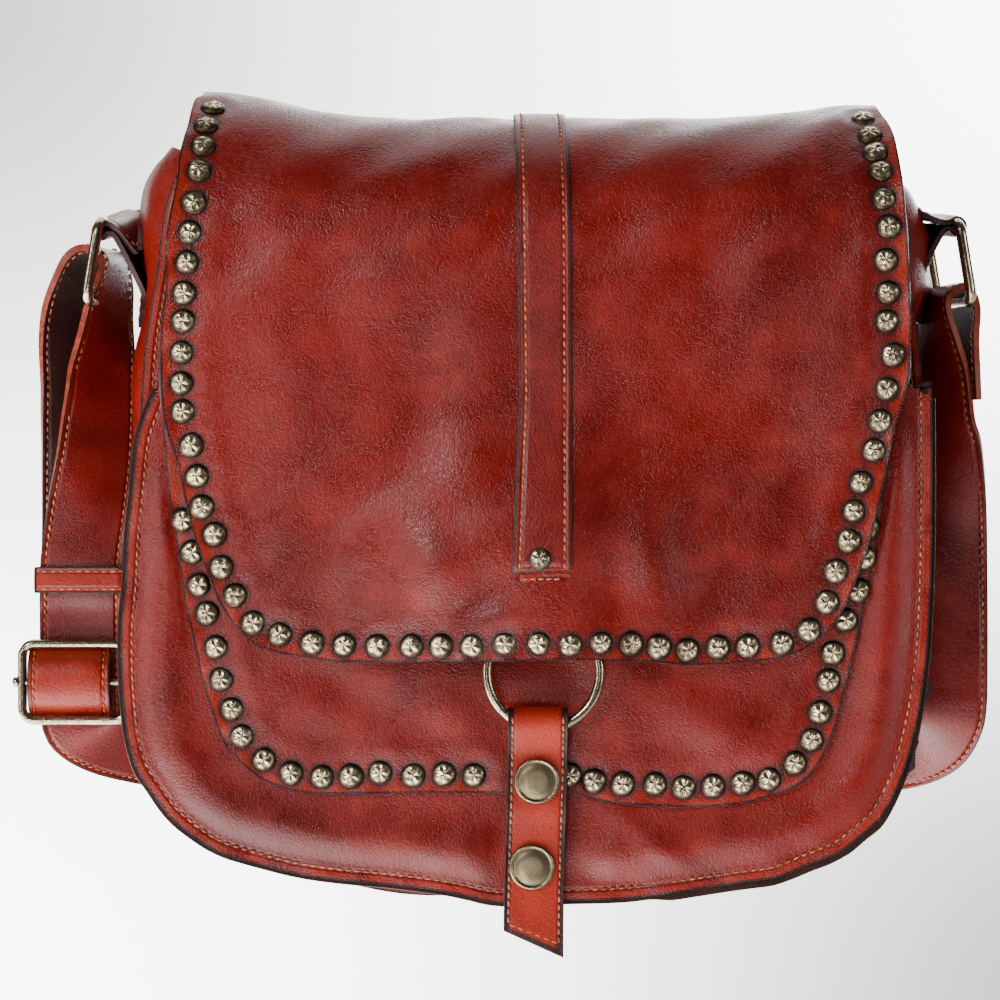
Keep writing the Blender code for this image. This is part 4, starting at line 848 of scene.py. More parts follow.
def flap_piece(name, place, sides, roots, spots, relief, seed, step, root_seam, ridges):
    """A studded flap.

    Its sides are its outline in the picture, and the roots, x and run in millimetres, go on from them.
    """
    left, bottom, right = (on_flap(place, part) for part in sides)
    left, right = (np.vstack([np.array(root) * MM, side]) for root, side in zip(roots, (left, right)))
    flat, edge, _ = patch(left, right, bottom, step, (80, 90))
    near = np.full(flat.shape[:2], 1.0)
    for spot in spots:
        near = np.minimum(near, np.linalg.norm(flat - spot, axis=2))
    x, run = flat[..., 0], flat[..., 1]
    lift = waves(x, run, seed) * relief * ease((edge - 1 * MM) / (14 * MM))
    lift += waves(x, run, seed + 5, 12 * MM, 30 * MM) * relief * 0.15
    lift += 0.30 * MM * bell(near - 8.5 * MM, 2.6 * MM) - 0.55 * MM * bell(near, 5.2 * MM)
    lift += 0.45 * MM * bell(edge, 2.2 * MM) * waves(x, run, seed + 9, 9 * MM, 22 * MM)
    lift *= ease((run - 4 * MM) / (24 * MM))
    at_ring = bell(x - MIDDLE_X, 25 * MM, 4) * bell(run - 280 * MM, 22 * MM, 4)
    lift = np.where(lift < 0, lift * (1 - at_ring), lift) + 0.5 * MM * at_ring
    for middle_x, middle_run, wide, long, height in ridges:
        lift += height * bell(x - middle_x, wide) * bell(run - middle_run, long)
    slit = np.hypot(np.maximum(np.abs(x - MIDDLE_X) - 8 * MM, 0), run - SLIT_RUN)
    seam = np.minimum(np.abs(run - root_seam), slit)
    return grid_piece(name, place(x, run, lift), (0, -1, 0), {"edge": edge, "stud": near, "seam": seam},
                      np.stack([x, run], axis=2))


def stud_spots(place, spots, sink=0.3 * MM):
    """Centres, normals and ways across for studs on a flap."""
    centres = place(spots[:, 0], spots[:, 1])
    return [(Vector(centre) - Vector(normal) * sink, Vector(normal), Vector((1, 0, 0)))
            for centre, normal in zip(centres, normals_of(place, spots))]


def body_outline(top):
    """The body's outline in X and Z, from the left top corner round the base to the right one."""
    left = [(-BODY_HALF_WIDTH * a, BODY_HEIGHT * b - BASE_DROP) for a, b in BODY_SHARES]
    right = [(-x, z) for x, z in reversed(left)]
    line = smooth(left + [(0, -BASE_DROP)] + right, 361)
    return line[line[:, 1] <= top + 0.1 * MM]


def wall_out(x, z):
    """How far the gusset's wall stands out from its flange's root at a place on the outline."""
    return np.where(x < 0, np.interp(z, FULL_Z, FULL_LEFT), np.interp(z, FULL_Z, FULL_RIGHT))


# Property groups


def measure(name, description, default):
    """A length with its default in millimetres."""
    return FloatProperty(name=name, description=description, default=default * MM, unit="LENGTH")


def tint(name, description, default):
    return FloatVectorProperty(name=name, description=description, default=default, subtype="COLOR", size=3,
                               min=0, max=1)


class PurseSizes(bpy.types.PropertyGroup):
    """Sizes of the purse's looks."""

    hide: measure("Hide", "Thickness of the body hide", 2)
    strip: measure("Strip", "Thickness of the centre strip", 1.5)
    strap: measure("Strap", "Thickness of the strap", 2.4)
    strap_width: measure("Strap width", "Width of the strap", 28)
    loop: measure("Loop", "Thickness of the ring loops", 1.8)
    edge_rounding: measure("Edge rounding", "Rounding of cut edges", 0.38)
    stud_diameter: measure("Stud diameter", "Diameter of the domed studs", 8.1)
    stud_height: measure("Stud height", "Height of the domed studs", 1.75)
    stitch_pitch: measure("Stitch pitch", "Distance from stitch to stitch", 2.9)
    thread: measure("Thread", "Thickness of the thread", 0.75)
    grain: measure("Grain", "Size of the pebbles in the hide", 0.62)


class PurseColours(bpy.types.PropertyGroup):
    """Colours of the purse's looks."""

    hide_dark: tint("Hide dark", "Dye in the hollows of the hide", (0.078, 0.0014, 0.0005))
    hide_mid: tint("Hide", "Dye of the hide", (0.165, 0.0036, 0.0009))
    hide_light: tint("Hide light", "Dye where the hide is worn", (0.28, 0.013, 0.0018))
    tan: tint("Tan", "Dye of the tab, keeper and strips", (0.30, 0.015, 0.002))
    tan_light: tint("Tan light", "Dye where the tab is worn", (0.42, 0.040, 0.007))
    lining: tint("Lining", "Inner side of the strap", (0.026, 0.0035, 0.0028))
    flesh: tint("Flesh", "Inner side of the hide", (0.030, 0.010, 0.007))
    # Paint on cut edges, and also the colour of the painted shade round the studs
    edge_paint_and_stud_shade: tint("Edge paint", "Paint on cut edges", (0.027, 0.006, 0.006))
    raw_edge: tint("Raw edge", "Cut edge without paint", (0.15, 0.019, 0.008))
    thread: tint("Thread", "Waxed thread", (0.48, 0.125, 0.038))
    brass: tint("Brass", "Rubbed brass", (0.58, 0.46, 0.28))
    cap: tint("Cap", "Press stud caps", (0.27, 0.215, 0.125))
    nickel: tint("Ring metal", "Rings and slider", (0.46, 0.375, 0.25))
    patina: tint("Patina", "Dark film in the hollows of the metal", (0.045, 0.030, 0.020))


# Operators


class Builder(bpy.types.Operator):
    """Shared behaviour of the purse's operators."""

    bl_options = {"REGISTER", "UNDO"}

    def execute(self, context):
        self.build()
        return {"FINISHED"}


class PURSE_OT_main_flap(Builder):
    """Build the main flap with its studs"""

    bl_idname = "purse.main_flap"
    bl_label = "Main flap"

    def build(self):
        sides = FLAP_LEFT, FLAP_BOTTOM, FLAP_RIGHT
        roots = ((-109, 0.3), (-110, 35), (-111, 62)), ((112, 0.3), (114, 35), (115.5, 62))
        behind = np.array([(x, run) for x in (-103.5, 109.5) for run in (66.5, 56.7, 46.9)]) * MM
        spots = np.vstack([on_flap(main_flap_place, FLAP_STUDS), behind])
        seam = 5 * MM
        hide = flap_piece("main_flap_hide", main_flap_place, sides, roots, spots, relief=0.55 * MM, seed=11,
                          step=1.55 * MM, root_seam=seam, ridges=FLAP_RIDGES)
        put_on(thicken(hide, sizes().hide, hide_looks("flap")), "main_flap", ["main_flap"])
        rivets = studs("main_flap_studs", stud_spots(main_flap_place, spots), 4)
        put_on(rivets, "main_flap")
        x = np.linspace(-105 * MM, 108 * MM, 60)
        line = main_flap_place(x, np.full_like(x, seam)), np.tile((0.0, 1.0, 0.0), (60, 1))
        sew("main_flap_thread", [line], "main_flap")


class PURSE_OT_centre_strip(Builder):
    """Build the stitched strip down the main flap and its stud"""

    bl_idname = "purse.centre_strip"
    bl_label = "Centre strip"

    def build(self):
        thick = sizes().strip
        first, last, seam = 8 * MM, STRIP_FOOT, 2.4 * MM
        corners = np.array([on_flap(main_flap_place, [(left, row), (right, row)])
                            for row, left, right in STRIP_SIDES])
        runs = np.r_[first, 50 * MM, corners[:, 0, 1]]
        run = first + fine_shares(last - first, 1.2 * MM) * (last - first)
        low, high = (np.interp(run, runs, np.r_[side[0], side[0], side]) for side in corners[..., 0].T)
        wide = (high - low)[:, None]
        x = low[:, None] + wide * fine_shares(18 * MM, 1.1 * MM)[None]
        run = run[:, None] + 0 * x
        edge = np.minimum(np.minimum(x - low[:, None], high[:, None] - x), last - run)
        sink = ease((run - last + 3 * MM) / (3 * MM)) * 0.9 * MM
        crown = (1 - (2 * edge / wide).clip(0, 1)) ** 4 * 0.25 * MM
        lift = thick + 0.1 * MM - crown + waves(x, run, 21, 15 * MM, 70 * MM) * 0.12 * MM - sink
        hide = grid_piece("centre_strip_hide", main_flap_place(x, run, lift), (0, -1, 0),
                          {"edge": edge, "seam": np.abs(edge - seam)}, np.stack([x, run], axis=2))
        put_on(thicken(hide, thick, hide_looks("strip")), "main_flap", ["centre_strip"])
        lines = []
        for line in (low + seam, high - seam):
            spots = np.stack([line, run[:, 0]], axis=1)[2:-2]
            places = main_flap_place(spots[:, 0], spots[:, 1], thick - sink[2:-2, 0])
            lines.append((places, normals_of(main_flap_place, spots)))
        sew("centre_strip_thread", lines, "main_flap")
        self.tongue()
        spot = on_flap(main_flap_place, [(540, 558)])
        centre = main_flap_place(spot[:, 0], spot[:, 1], thick)[0]
        normal = Vector(normals_of(main_flap_place, spot)[0])
        stud = studs("strip_stud_cap", [(Vector(centre) - normal * 0.4 * MM, normal, Vector((1, 0, 0)))], 8)
        put_on(stud, "main_flap", ["strip_stud"])

    def tongue(self):
        """The end of the strip that shows in the slit at its foot."""
        start, end = on_flap(main_flap_place, [(518, 573.5), (563, 573.5)])
        rows = np.linspace(0, 3.4 * MM, 6)[:, None]
        x = np.linspace(start[0], end[0], 30)[None] + 0 * rows
        run = max((start[1] + end[1]) / 2, STRIP_FOOT + 0.2 * MM) + rows + 0 * x
        edge = np.minimum(np.minimum(x - start[0], end[0] - x), run[-1:] - run)
        hide = grid_piece("strip_tongue_hide", main_flap_place(x, run, 0.7 * MM), (0, -1, 0),
                          {"edge": edge, "seam": 0 * edge + 3 * MM}, np.stack([x, run], axis=2))
        put_on(thicken(hide, 0.8 * MM, hide_looks("tan")), "main_flap")
        spots = on_flap(main_flap_place, [(px, 579) for px in np.linspace(521, 561, 12)])
        line = main_flap_place(spots[:, 0], spots[:, 1], 0.75 * MM), normals_of(main_flap_place, spots)
        sew("strip_tongue_thread", [line], "main_flap", 2.4 * MM)


class PURSE_OT_pocket_flap(Builder):
    """Build the flap over the front pocket with its studs"""

    bl_idname = "purse.pocket_flap"
    bl_label = "Pocket flap"

    def build(self):
        sides = POCKET_FLAP_LEFT, POCKET_FLAP_BOTTOM, POCKET_FLAP_RIGHT
        roots = ((-118, 0.3), (-119, 14)), ((117, 0.3), (117.4, 14))
        spots = on_flap(pocket_flap_place, POCKET_FLAP_STUDS)
        hide = flap_piece("pocket_flap_hide", pocket_flap_place, sides, roots, spots, relief=0.5 * MM,
                          seed=31, step=1.7 * MM, root_seam=3 * MM, ridges=POCKET_RIDGES)
        put_on(thicken(hide, sizes().hide, hide_looks("cognac")), "pocket_flap", ["pocket_flap"])
        rivets = studs("pocket_flap_studs", stud_spots(pocket_flap_place, spots), 5)
        put_on(rivets, "pocket_flap")


class PURSE_OT_panels(Builder):
    """Build the back, front and pocket panels with their thread"""

    bl_idname = "purse.panels"
    bl_label = "Panels"

    def panel(self, name, outline, y, facing, bulge, seed, step, roll=None):
        """A panel cut to an outline of left side, base and right side, in X and Z."""
        seam = 3.6 * MM
        left, bottom, right = outline
        flat, edge, rim = patch(left, right, bottom, step, (90, 100))
        x, z = flat[..., 0], flat[..., 1]
        out = bulge * ease((edge - 6 * MM) / (12 * MM))
        if roll:
            out += roll(x, z, edge)
        out += waves(x, z, seed) * 0.5 * MM * ease((edge - 4 * MM) / (16 * MM))
        out += waves(x, z, seed + 3, 9 * MM, 30 * MM) * 0.22 * MM * bell(edge, 9 * MM)
        out *= ease((left[0, 1] - z) / (30 * MM))
        places = np.stack([x, y + facing * np.maximum(out, -0.2 * MM), z], axis=2)
        hide = grid_piece(name + "_hide", places, (0, facing, 0), {"edge": edge, "seam": np.abs(edge - seam)},
                          np.stack([x, z], axis=2))
        put_on(thicken(hide, sizes().hide, hide_looks("cognac")), "bag", [name])
        line = inset(rim[::2], seam)
        places = np.stack([line[:, 0], np.full(len(line), y), line[:, 1]], axis=1)
        sew(name + "_thread", [(places, np.tile((0.0, facing, 0.0), (len(line), 1)))], "bag")

    def build(self):
        for name, y, facing, top in (("back_panel", BACK_PANEL_FACE, 1, BACK_TOP),
                                     ("front_panel", FRONT_PANEL_FACE, -1, MOUTH_TOP)):
            line = body_outline(top)
            split = int(np.argmin(np.abs(line[:len(line) // 2, 1] - 19 * MM)))
            last = len(line) - 1 - split
            sides = line[:split + 1:4], line[split:last + 1:4], line[last:][::-1][::4]
            ends = line[split], line[last], line[last]
            outline = [np.vstack(pair) for pair in zip(sides, ends)]
            self.panel(name, outline, y, facing, bulge=0.0, seed=41, step=3.4 * MM)
        outline = [from_picture(part, POCKET_FACE) for part in (POCKET_LEFT, POCKET_BOTTOM, POCKET_RIGHT)]
        self.panel("pocket_panel", outline, POCKET_FACE, -1, bulge=1.2 * MM, seed=51, step=1.7 * MM,
                   roll=self.below_flap)

    def below_flap(self, x, z, edge):
        """The roll of the pocket's hide where the flap leaves it free, away from the press stud."""
        left, bottom, right = (from_picture(part, POCKET_FLAP_DEPTH) for part in
                               (POCKET_FLAP_LEFT, POCKET_FLAP_BOTTOM, POCKET_FLAP_RIGHT))
        beyond = np.interp(z, left[::-1, 1], left[::-1, 0]) - x
        beyond = np.maximum(beyond, x - np.interp(z, right[::-1, 1], right[::-1, 0]))
        beyond = np.maximum(beyond, np.interp(x, bottom[:, 0], bottom[:, 1]) - z)
        aside = ease((np.abs(x - MIDDLE_X) - 11 * MM) / (14 * MM))
        roll = 2.3 * MM * bell(edge - 13 * MM, 7 * MM)
        roll += 1.1 * MM * bell((x - 36 * MM) * 0.8 + (z - 14 * MM), 5 * MM) * bell(x - 40 * MM, 22 * MM)
        roll += 0.9 * MM * bell((x + 20 * MM) * 0.7 - (z - 12 * MM), 6 * MM) * bell(x + 22 * MM, 16 * MM)
        return roll * ease(beyond / (4 * MM)) * aside * ease((edge - 4 * MM) / (5 * MM))


class PURSE_OT_gussets(Builder):
    """Build the two gussets with their turned-out seams"""

    bl_idname = "purse.gussets"
    bl_label = "Gussets"

    def gusset(self, name, line, front, depth, full, flange, seed, columns):
        """A strip that runs round an outline, turned out into a flange at each seam."""
        line = smooth(line[::3], fine_shares(travel_along(line)[-1], 2.0 * MM))
        along = unit(np.gradient(line, axis=0))
        inward = np.stack([-along[:, 1], along[:, 0]], axis=1)
        turned = np.array([0.0, 0.4, 1.0, 2.0, 3.5, 5.0, 6.2, 7.0])
        insets = np.r_[turned, np.full(columns, 7.2), turned[::-1]] / 7 * flange
        inner = np.linspace(0.8 * MM, depth - 0.8 * MM, columns)
        depths = np.r_[np.zeros(7), 0.15 * MM, inner, depth - 0.15 * MM, np.full(7, depth)]
        bow = 1 - (2 * depths / depth - 1) ** 4
        slack = 0.8 * MM + 1.0 * MM * ease((line[:, 1:] - 190 * MM) / (30 * MM))
        wrinkle = waves(depths[None], travel_along(line)[:, None], seed, 18 * MM, 70 * MM) * slack * bow
        offset = insets - full(line[:, 0], line[:, 1])[:, None] * bow + wrinkle * (insets > flange * 0.9)
        x = line[:, :1] + inward[:, :1] * offset
        z = line[:, 1:] + inward[:, 1:] * offset
        flat = (depths < 0.1 * MM) | (depths > depth - 0.1 * MM)
        edge = np.where(flat, insets, 12 * MM) + 0 * x
        places = np.stack([x, front + depths + 0 * x, z], axis=2)
        hide = grid_piece(name + "_hide", places, (0, 0, -1), {"edge": edge})
        put_on(thicken(hide, sizes().hide, hide_looks("cognac")), "bag", [name])

    def build(self):
        self.gusset("main_gusset", body_outline(MOUTH_TOP), front=-31.7 * MM, depth=63.4 * MM, full=wall_out,
                    flange=7 * MM, seed=61, columns=17)
        outline = from_picture(POCKET_LEFT + POCKET_BOTTOM[1:] + POCKET_RIGHT[::-1][1:], POCKET_SEAM_DEPTH)
        grown = inset(smooth(outline, 240), -1.2 * MM)
        low_right = (grown[:, 0] > 40 * MM) & (grown[:, 1] < 60 * MM)
        grown[:, 1] -= 1.2 * MM * low_right
        self.gusset("pocket_gusset", grown, front=-46.2 * MM, depth=7.7 * MM, full=lambda x, z: 0 * x,
                    flange=8 * MM, seed=62, columns=7)


class PURSE_OT_closure(Builder):
    """Build the round ring, its hanger, the folded tab and the press studs"""

    bl_idname = "purse.closure"
    bl_label = "Closure"

    def build(self):
        line = [(RING_X + RING_RADIUS * math.sin(turn), RING_Y, RING_Z + RING_RADIUS * math.cos(turn))
                for turn in np.linspace(0, 2 * PI, 96, endpoint=False)]
        put_on(wire("closure_ring_wire", line, RING_WIRE, dips=(59, 60)), "closure_ring", ["closure_ring"])
        bend = RING_WIRE + 1.85 * MM
        top = 103 * MM
        seat = main_flap_place(np.array([RING_X]), np.array([FRONT_RUN + FLAP_BEND_Z - top]))[0, 1] + 2.9 * MM
        points = [(seat, top), (seat, top - 8 * MM)]
        for turn in np.linspace(0, PI, 9):
            points.append((RING_Y - bend * math.cos(turn), 85.6 * MM - bend * math.sin(turn)))
        points.append((RING_Y + bend, top))
        stations = [((RING_X, y, z), (1, 0, 0)) for y, z in points]
        hanger, *_ = ribbon("ring_hanger_hide", stations, half_width=6 * MM, thickness=1.5 * MM,
                            looks=hide_looks("tan"), facing=(0, -1, 0), seed=3, seam=1.6 * MM)
        put_on(hanger, "main_flap", ["ring_hanger"])
        self.tab()
        self.cap("upper_snap_cap", (537, 781), -59.85 * MM)
        self.cap("lower_snap_cap", (532, 867), -57.55 * MM)
        for name in ("upper_snap_stud", "lower_snap_socket", "lower_snap_stud"):
            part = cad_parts[name]
            part.data.materials.clear()
            part.data.materials.append(look("cap"))

    def tab(self):
        """The tab's two layers, folded over the ring, and its thread."""
        half_wide, half_sewn, sewn_share = 9.8 * MM, 8.2 * MM, 0.84
        fold = 4.05 * MM
        fold_z, close_z = 51.65 * MM, 40.4 * MM
        front_y, between_y = -58.65 * MM, -55.9 * MM

        def lean(z):
            return 2.3 * MM * float(ease((24 * MM - z) / (12 * MM)))

        def middle(z):
            return 0.2 * MM + 1.4 * MM * float(ease((z + 20 * MM) / (70 * MM)))

        def slant(z):
            return 4.4 * MM * ease((-6 * MM - z) / (15 * MM))

        points = [(RING_Y + fold + lean(z), z) for z in np.linspace(-5 * MM, close_z, 9)]
        for turn in np.linspace(0, PI, 9):
            points.append((RING_Y + fold * math.cos(turn), fold_z + fold * math.sin(turn)))
        for share in np.linspace(1 / 6, 1, 6):
            y = RING_Y - fold + (front_y - RING_Y + fold) * float(ease(share))
            points.append((y, fold_z + (close_z - fold_z) * share))
        points += [(front_y + lean(z), z) for z in np.linspace(36, -21, 10) * MM]
        stations = [((middle(z), y, z), (1, 0, 0)) for y, z in points]
        piece, _, made = ribbon("closure_tab_hide", stations, half_wide, thickness=1.8 * MM,
                                looks=hide_looks("tab"), facing=(0, 1, 0), seed=9, seam=1.5 * MM,
                                step=0.9 * MM, ripple=0.10 * MM)
        flat = places_in(piece.data)
        flat[:, 2] -= slant(flat[:, 2]) * (flat[:, 1] < between_y) * flat[:, 0] / half_wide
        piece.data.vertices.foreach_set("co", flat.ravel())
        put_on(piece, "closure_tab", ["closure_tab"])
        top = np.argmax(made[0][:, 2])
        centres, across, normal = (part[top + 1:] for part in made)
        threads = []
        for side in (-1, 1):
            line = centres + across * side * half_sewn + normal * 0.75 * MM
            line[:, 2] -= slant(line[:, 2]) * side * sewn_share
            threads.append((line[4:-4], normal[4:-4]))
        share = np.linspace(0, 1, 12)[:, None]
        tip = threads[0][0][-1] * (1 - share) + threads[1][0][-1] * share
        threads.append((tip, np.tile(normal[-1], (12, 1))))
        sew("closure_tab_thread", threads, "closure_tab", 2.6 * MM)

    def cap(self, name, spot, y):
        """The cap of a press stud, as a sunk disc and the rim round it."""
        disc = [(0, 1.35), (3.0, 1.36), (5.2, 1.25), (5.75, 0.95), (6.1, 1.0)]
        rim = [(6.1, 1.0), (6.45, 1.42), (6.9, 1.5), (7.3, 1.2), (7.5, 0.6), (7.4, 0.0), (3.0, -0.2)]
        x, z = from_picture([spot], y)[0]
        centre, front = Vector((x, y, z)), Vector((0, -1, 0))
        put_on(spun(name + "_disc", disc, centre, front, look("cap")), "closure_tab", [name])
        put_on(spun(name + "_rim", rim, centre, front, look("rim")), "closure_tab")


class PURSE_OT_side_rings(Builder):
    """Build the side rings and the leather loops that carry them"""

    bl_idname = "purse.side_rings"
    bl_label = "Side rings"

    def build(self):
        for side, word in ((-1, "left"), (1, "right")):
            axis = np.array([-side * math.sin(SIDE_YAW), math.cos(SIDE_YAW), 0])
            outward = np.array([side * math.cos(SIDE_YAW), math.sin(SIDE_YAW), 0])
            drop = outward * math.sin(SIDE_LEAN) - np.array([0, 0, 1]) * math.cos(SIDE_LEAN)
            bar = np.array([side * SIDE_BAR_X[side], 0, SIDE_BAR_Z])
            line = [bar + axis * across + drop * (SIDE_REACH / 2 + down)
                    for across, down in rounded(SIDE_HALF_SPAN, SIDE_REACH / 2, corner=4.5 * MM, steps=9)]
            ring = wire(f"side_ring_{word}_wire", line, SIDE_WIRE)
            put_on(ring, "side_ring_" + word, ["side_ring_" + word])
            self.loop(side, word, bar, axis, outward)

    def loop(self, side, word, bar, axis, outward):
        """The loop sewn to the gusset, folded round the ring's upper bar."""
        flat, up = np.array([0, 1.0, 0]), np.array([0, 0, 1.0])
        outline = sorted((b * BODY_HEIGHT - BASE_DROP, a * BODY_HALF_WIDTH) for a, b in BODY_SHARES)

        def seat(z):
            wall = np.interp(z, *zip(*outline)) - 7.2 * MM + float(wall_out(np.array(side), np.array(z)))
            return np.array([side * (wall + 1.1 * MM), 0, z])

        if side < 0:
            above, below, tilt = flat * 0.75 + up * 0.66, flat * 0.75 + up * 0.66, up * 0.24
            high_seats, low_seats = (220, 218, 216), (205, 199, 192)
        else:
            above, below, tilt = flat + up * 0.15, flat * 0.97 + outward * 0.25, up * 0.12
            high_seats, low_seats = (231, 227, 223), (197, 191, 184)
        bend, gathered = 2.9 * MM, 4.6 * MM
        stations = [(seat(z * MM), above) for z in high_seats]
        stations.append((bar - outward * gathered + up * 1.9 * MM, axis + tilt))
        for turn in np.radians(np.linspace(95, -95, 11)):
            spoke = outward * math.cos(turn) + up * math.sin(turn)
            stations.append((bar + spoke * bend, axis + tilt * 0.8))
        stations.append((bar - outward * gathered - up * 1.6 * MM, axis + tilt))
        stations += [(seat(z * MM), below) for z in low_seats]
        piece, lines, _ = ribbon(f"ring_loop_{word}_hide", stations, half_width=15.7 * MM,
                                 thickness=sizes().loop, looks=hide_looks("strap"), facing=(side, 0, 0),
                                 seed=5, seam=2.0 * MM)
        put_on(piece, "bag", ["ring_loop_" + word])
        sewn = []
        for places, normal in lines:
            held = np.flatnonzero(side * (bar[0] - places[:, 0]) < 4.5 * MM)
            sewn += [(places[:held[0]], normal[:held[0]]), (places[held[-1]:], normal[held[-1]:])]
        sew(f"ring_loop_{word}_thread", sewn, "bag")


class PURSE_OT_strap(Builder):
    """Build the carrying strap, its keeper and its slider"""

    bl_idname = "purse.strap"
    bl_label = "Strap"

    def stations(self, side, front, turned):
        """Stations down a side, round the lower corner and on to the middle of the back."""
        back = [(side * x, BACK_STRAP_Y / MM, BACK_STRAP_Z / MM, 0) for x in (94, 60, 25, 0)]
        made = []
        for rows, way in ((front, (0, 1, 0)), (turned + back, (0, 0, 1))):
            for x, y, z, turn in rows:
                turn = math.radians(turn)
                across = np.array(way) * math.cos(turn) - np.array([side * math.sin(turn), 0, 0])
                made.append((np.array([x, y, z]) * MM, across))
        return made

    def build(self):
        thick = sizes().strap
        for word, side, front, turned, facing in (
                ("left", -1, LEFT_OUTER + LEFT_TOP + LEFT_INNER, LEFT_TURN, (0, 1, 0)),
                ("right", 1, RIGHT_OUTER + RIGHT_TOP + RIGHT_INNER, RIGHT_TURN, (1, 0, 0))):
            piece, lines, _ = ribbon("strap_" + word, self.stations(side, front, turned),
                                     sizes().strap_width / 2, thick, hide_looks("strap", "lining", "raw"),
                                     facing, seed=13 + side, seam=1.9 * MM, step=1.5 * MM,
                                     ripple=0.32 * MM)
            lines += [(places - normal * thick, -normal) for places, normal in lines]
            for part in (piece, stitches(f"strap_{word}_thread", lines)):
                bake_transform(part)
            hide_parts("strap")
        self.keeper()
        self.slider()

    def keeper(self):
        """The band round both layers of the strap."""
        stations = [((KEEPER.x + across, KEEPER.y + deep, KEEPER.z), (0, 0, 1))
                    for across, deep in rounded(15.05 * MM, 3.65 * MM, corner=2.2 * MM, steps=6)]
        piece, lines, _ = ribbon("strap_keeper_hide", stations + stations[:1], half_width=4.4 * MM,
                                 thickness=1.4 * MM, looks=hide_looks("tan"), facing=(0, -1, 0), seed=23,
                                 weld=True, step=0.8 * MM, ripple=0.06 * MM, seam=1.4 * MM)
        put_on(piece, "keeper", ["strap_keeper"])
        sew("strap_keeper_thread", lines, "keeper", 2.8 * MM)

    def slider(self):
        """The wire frame with its middle bar and end knob, and the loop sewn round the bar."""
        half_wide, half_high = 17.6 * MM, 12.9 * MM
        middle = SLIDER - Vector((1.7 * MM, 0, 0))
        line = [middle + Vector((across, 0, up))
                for across, up in rounded(half_wide, half_high, corner=4.0 * MM, steps=8)]
        put_on(wire("slider_frame", line, SLIDER_WIRE, dips=(20, 21)), "slider", ["slider_buckle"])
        bar = [middle + Vector((x, 0, 0)) for x in np.linspace(-half_wide - 2.2 * MM, half_wide, 12)]
        put_on(wire("slider_bar", bar, SLIDER_BAR_WIRE, closed=False), "slider")
        stations = [((SLIDER.x - 3.4 * MM, y * MM, z * MM), (1, 0, 0)) for y, z in LOOP_PATH]
        piece, lines, _ = ribbon("slider_loop_hide", stations, half_width=13.9 * MM, thickness=1.8 * MM,
                                 looks=hide_looks("tan"), facing=(0, -1, 0), seed=29, step=0.8 * MM,
                                 ripple=0.15 * MM, seam=2.1 * MM)
        put_on(piece, "slider")
        sew("slider_loop_thread", lines, "slider", 2.8 * MM)
        knob = [(0, 0), (1.2, 0.1), (1.75, 0.7), (1.8, 1.6), (1.5, 2.5), (0, 2.9)]
        end = middle - Vector((half_wide + 0.6 * MM, 0, 0))
        made = spun("slider_knob", knob, end, Vector((-1, 0, 0)), look("nickel"), 20)
        put_on(made, "slider")


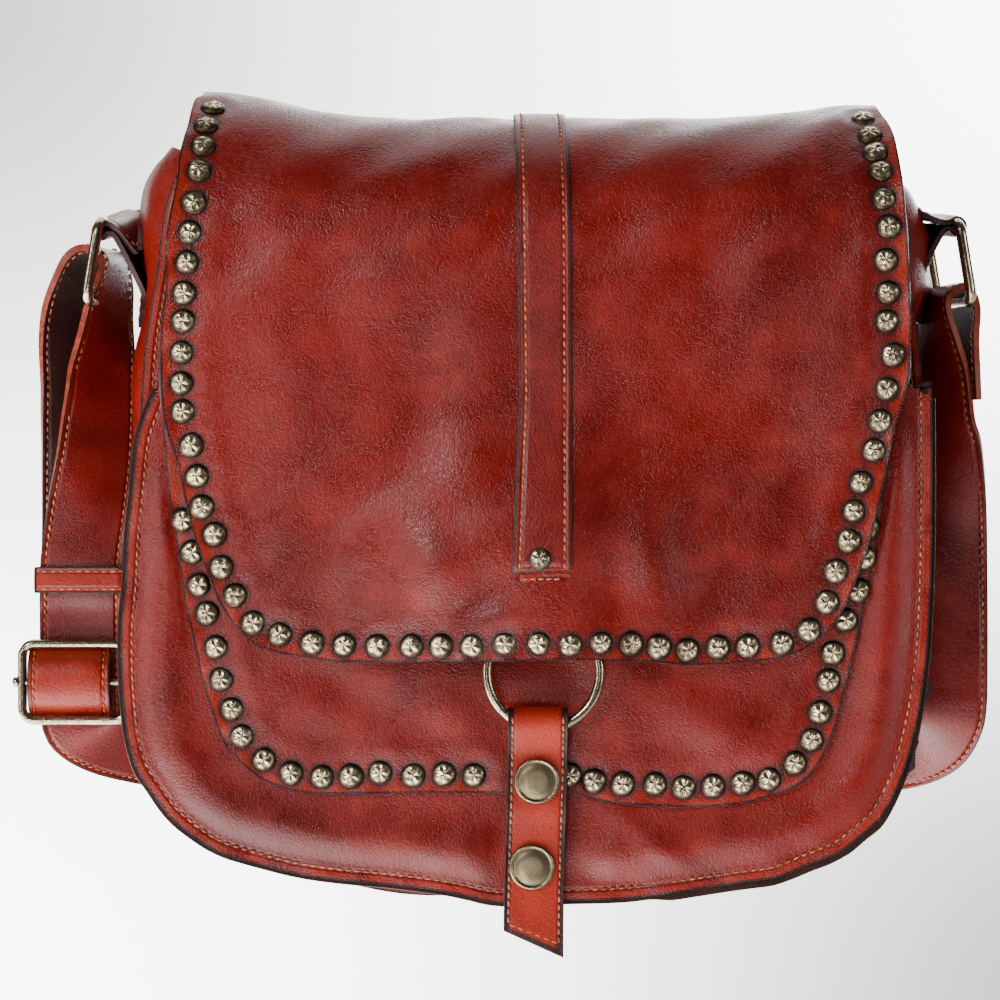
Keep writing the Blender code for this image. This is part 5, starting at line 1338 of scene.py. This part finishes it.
class PURSE_OT_stage(Builder):
    """Build the backdrop, the lights and the camera"""

    bl_idname = "purse.stage"
    bl_label = "Stage"

    def build(self):
        self.backdrop()
        world = bpy.data.worlds.new("Studio")
        bpy.context.scene.world = world
        world.use_nodes = True
        sky = world.node_tree.nodes["Background"]
        sky.inputs["Color"].default_value = (0.80, 0.82, 0.86, 1)
        sky.inputs["Strength"].default_value = 0.11
        self.light("Ceiling", (0.0, 0.40, 1.1), (0, 0, 0.15), 1.4, 0.8, 7.5)
        self.light("Front left", (-1.05, -1.65, 1.0), (0, -0.05, 0.12), 0.5, 0.5, 24)
        self.light("Front low", (-0.36, -2.0, -0.40), (0, -0.05, 0.08), 0.4, 0.35, 6.5)
        self.light("Left strip", (-1.55, -0.75, 0.15), (-0.1, -0.05, 0.1), 0.22, 1.0, 9)
        self.light("Right strip", (1.6, -0.95, 0.25), (0.1, -0.05, 0.12), 0.3, 1.0, 11)
        lens = bpy.data.cameras.new("Camera")
        lens.sensor_fit = "HORIZONTAL"
        lens.angle = 2 * math.atan(MIDDLE_PIXEL * PIXEL / CAMERA_REACH)
        lens.clip_start = 0.05
        lens.clip_end = 20
        camera = linked("Camera", lens)
        camera.location = (VIEW_X, FRONT_Y - CAMERA_REACH, VIEW_Z)
        camera.rotation_euler = (PI / 2, 0, 0)
        bpy.context.scene.camera = camera

    def light(self, name, place, target, width, height, power):
        lamp = bpy.data.lights.new(name, "AREA")
        lamp.shape = "RECTANGLE"
        lamp.size = width
        lamp.size_y = height
        lamp.energy = power
        made = linked(name, lamp)
        made.location = place
        made.rotation_euler = (Vector(target) - Vector(place)).to_track_quat("-Z", "Y").to_euler()

    def backdrop(self):
        """A sweep of floor and wall that glows and lights the purse, with painted light and shade from near
        white to dark grey across it.
        """
        sweep = [(-1.6, -0.9), (0.6, -0.9), (1.7, -0.9), (2.2, -0.72), (2.4, -0.3), (2.4, 0.6), (2.4, 2.2)]
        profile = smooth(sweep, 60)
        x = np.linspace(-2.6, 2.6, 40)
        places = np.stack(np.broadcast_arrays(x[None], profile[:, :1], profile[:, 1:]), axis=2)
        piece = grid_piece("backdrop", places, (0, -1, 1))
        made, tree, shader, where = material("backdrop")
        split = node(tree, "SeparateXYZ", {0: where})
        side = scaled(tree, split.outputs["X"], -0.55, 0.55)
        rise = scaled(tree, split.outputs["Z"], -0.36, 0.60)
        # Painted light and shade: the glow goes from near white to dark grey from side to side and from
        # bottom to top
        low = blended(tree, side, (1.0, 1.0, 0.99), (0.13, 0.13, 0.13))
        high = blended(tree, side, (0.17, 0.167, 0.155), (0.98, 0.98, 0.98))
        fill(tree, shader, {"Emission Color": blended(tree, rise, low, high), "Emission Strength": 9.0,
                            "Base Color": (0, 0, 0, 1), "Roughness": 1.0, "Specular IOR Level": 0.0})
        piece.data.materials.append(made)
        piece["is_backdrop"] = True


class PURSE_PT_panel(bpy.types.Panel):
    """Sizes, colours and steps of the purse"""

    bl_label = "Purse"
    bl_idname = "PURSE_PT_panel"
    bl_space_type = "VIEW_3D"
    bl_region_type = "UI"
    bl_category = "Purse"

    def draw(self, context):
        for group in (context.scene.purse_sizes, context.scene.purse_colours):
            box = self.layout.box()
            for key in group.__annotations__:
                box.prop(group, key)
        column = self.layout.column()
        for step in STEPS:
            column.operator(step.bl_idname)


STEPS = (PURSE_OT_panels, PURSE_OT_gussets, PURSE_OT_pocket_flap, PURSE_OT_main_flap, PURSE_OT_centre_strip,
         PURSE_OT_closure, PURSE_OT_side_rings, PURSE_OT_strap, PURSE_OT_stage)
CLASSES = (PurseSizes, PurseColours) + STEPS + (PURSE_PT_panel,)


def register():
    for part in CLASSES:
        bpy.utils.register_class(part)
    bpy.types.Scene.purse_sizes = PointerProperty(type=PurseSizes)
    bpy.types.Scene.purse_colours = PointerProperty(type=PurseColours)


def unregister():
    del bpy.types.Scene.purse_colours
    del bpy.types.Scene.purse_sizes
    for part in reversed(CLASSES):
        bpy.utils.unregister_class(part)


def plain(bounds):
    """Bounds as plain lists of numbers."""
    return json.loads(json.dumps(bounds, default=lambda value: [float(number) for number in value]))


def main():
    before = plain(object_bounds())
    register()
    for step in STEPS:
        family, name = step.bl_idname.split(".")
        getattr(getattr(bpy.ops, family), name)()
    {"cad": before, "visual": plain(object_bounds())}


if __name__ == "__main__":
    main()
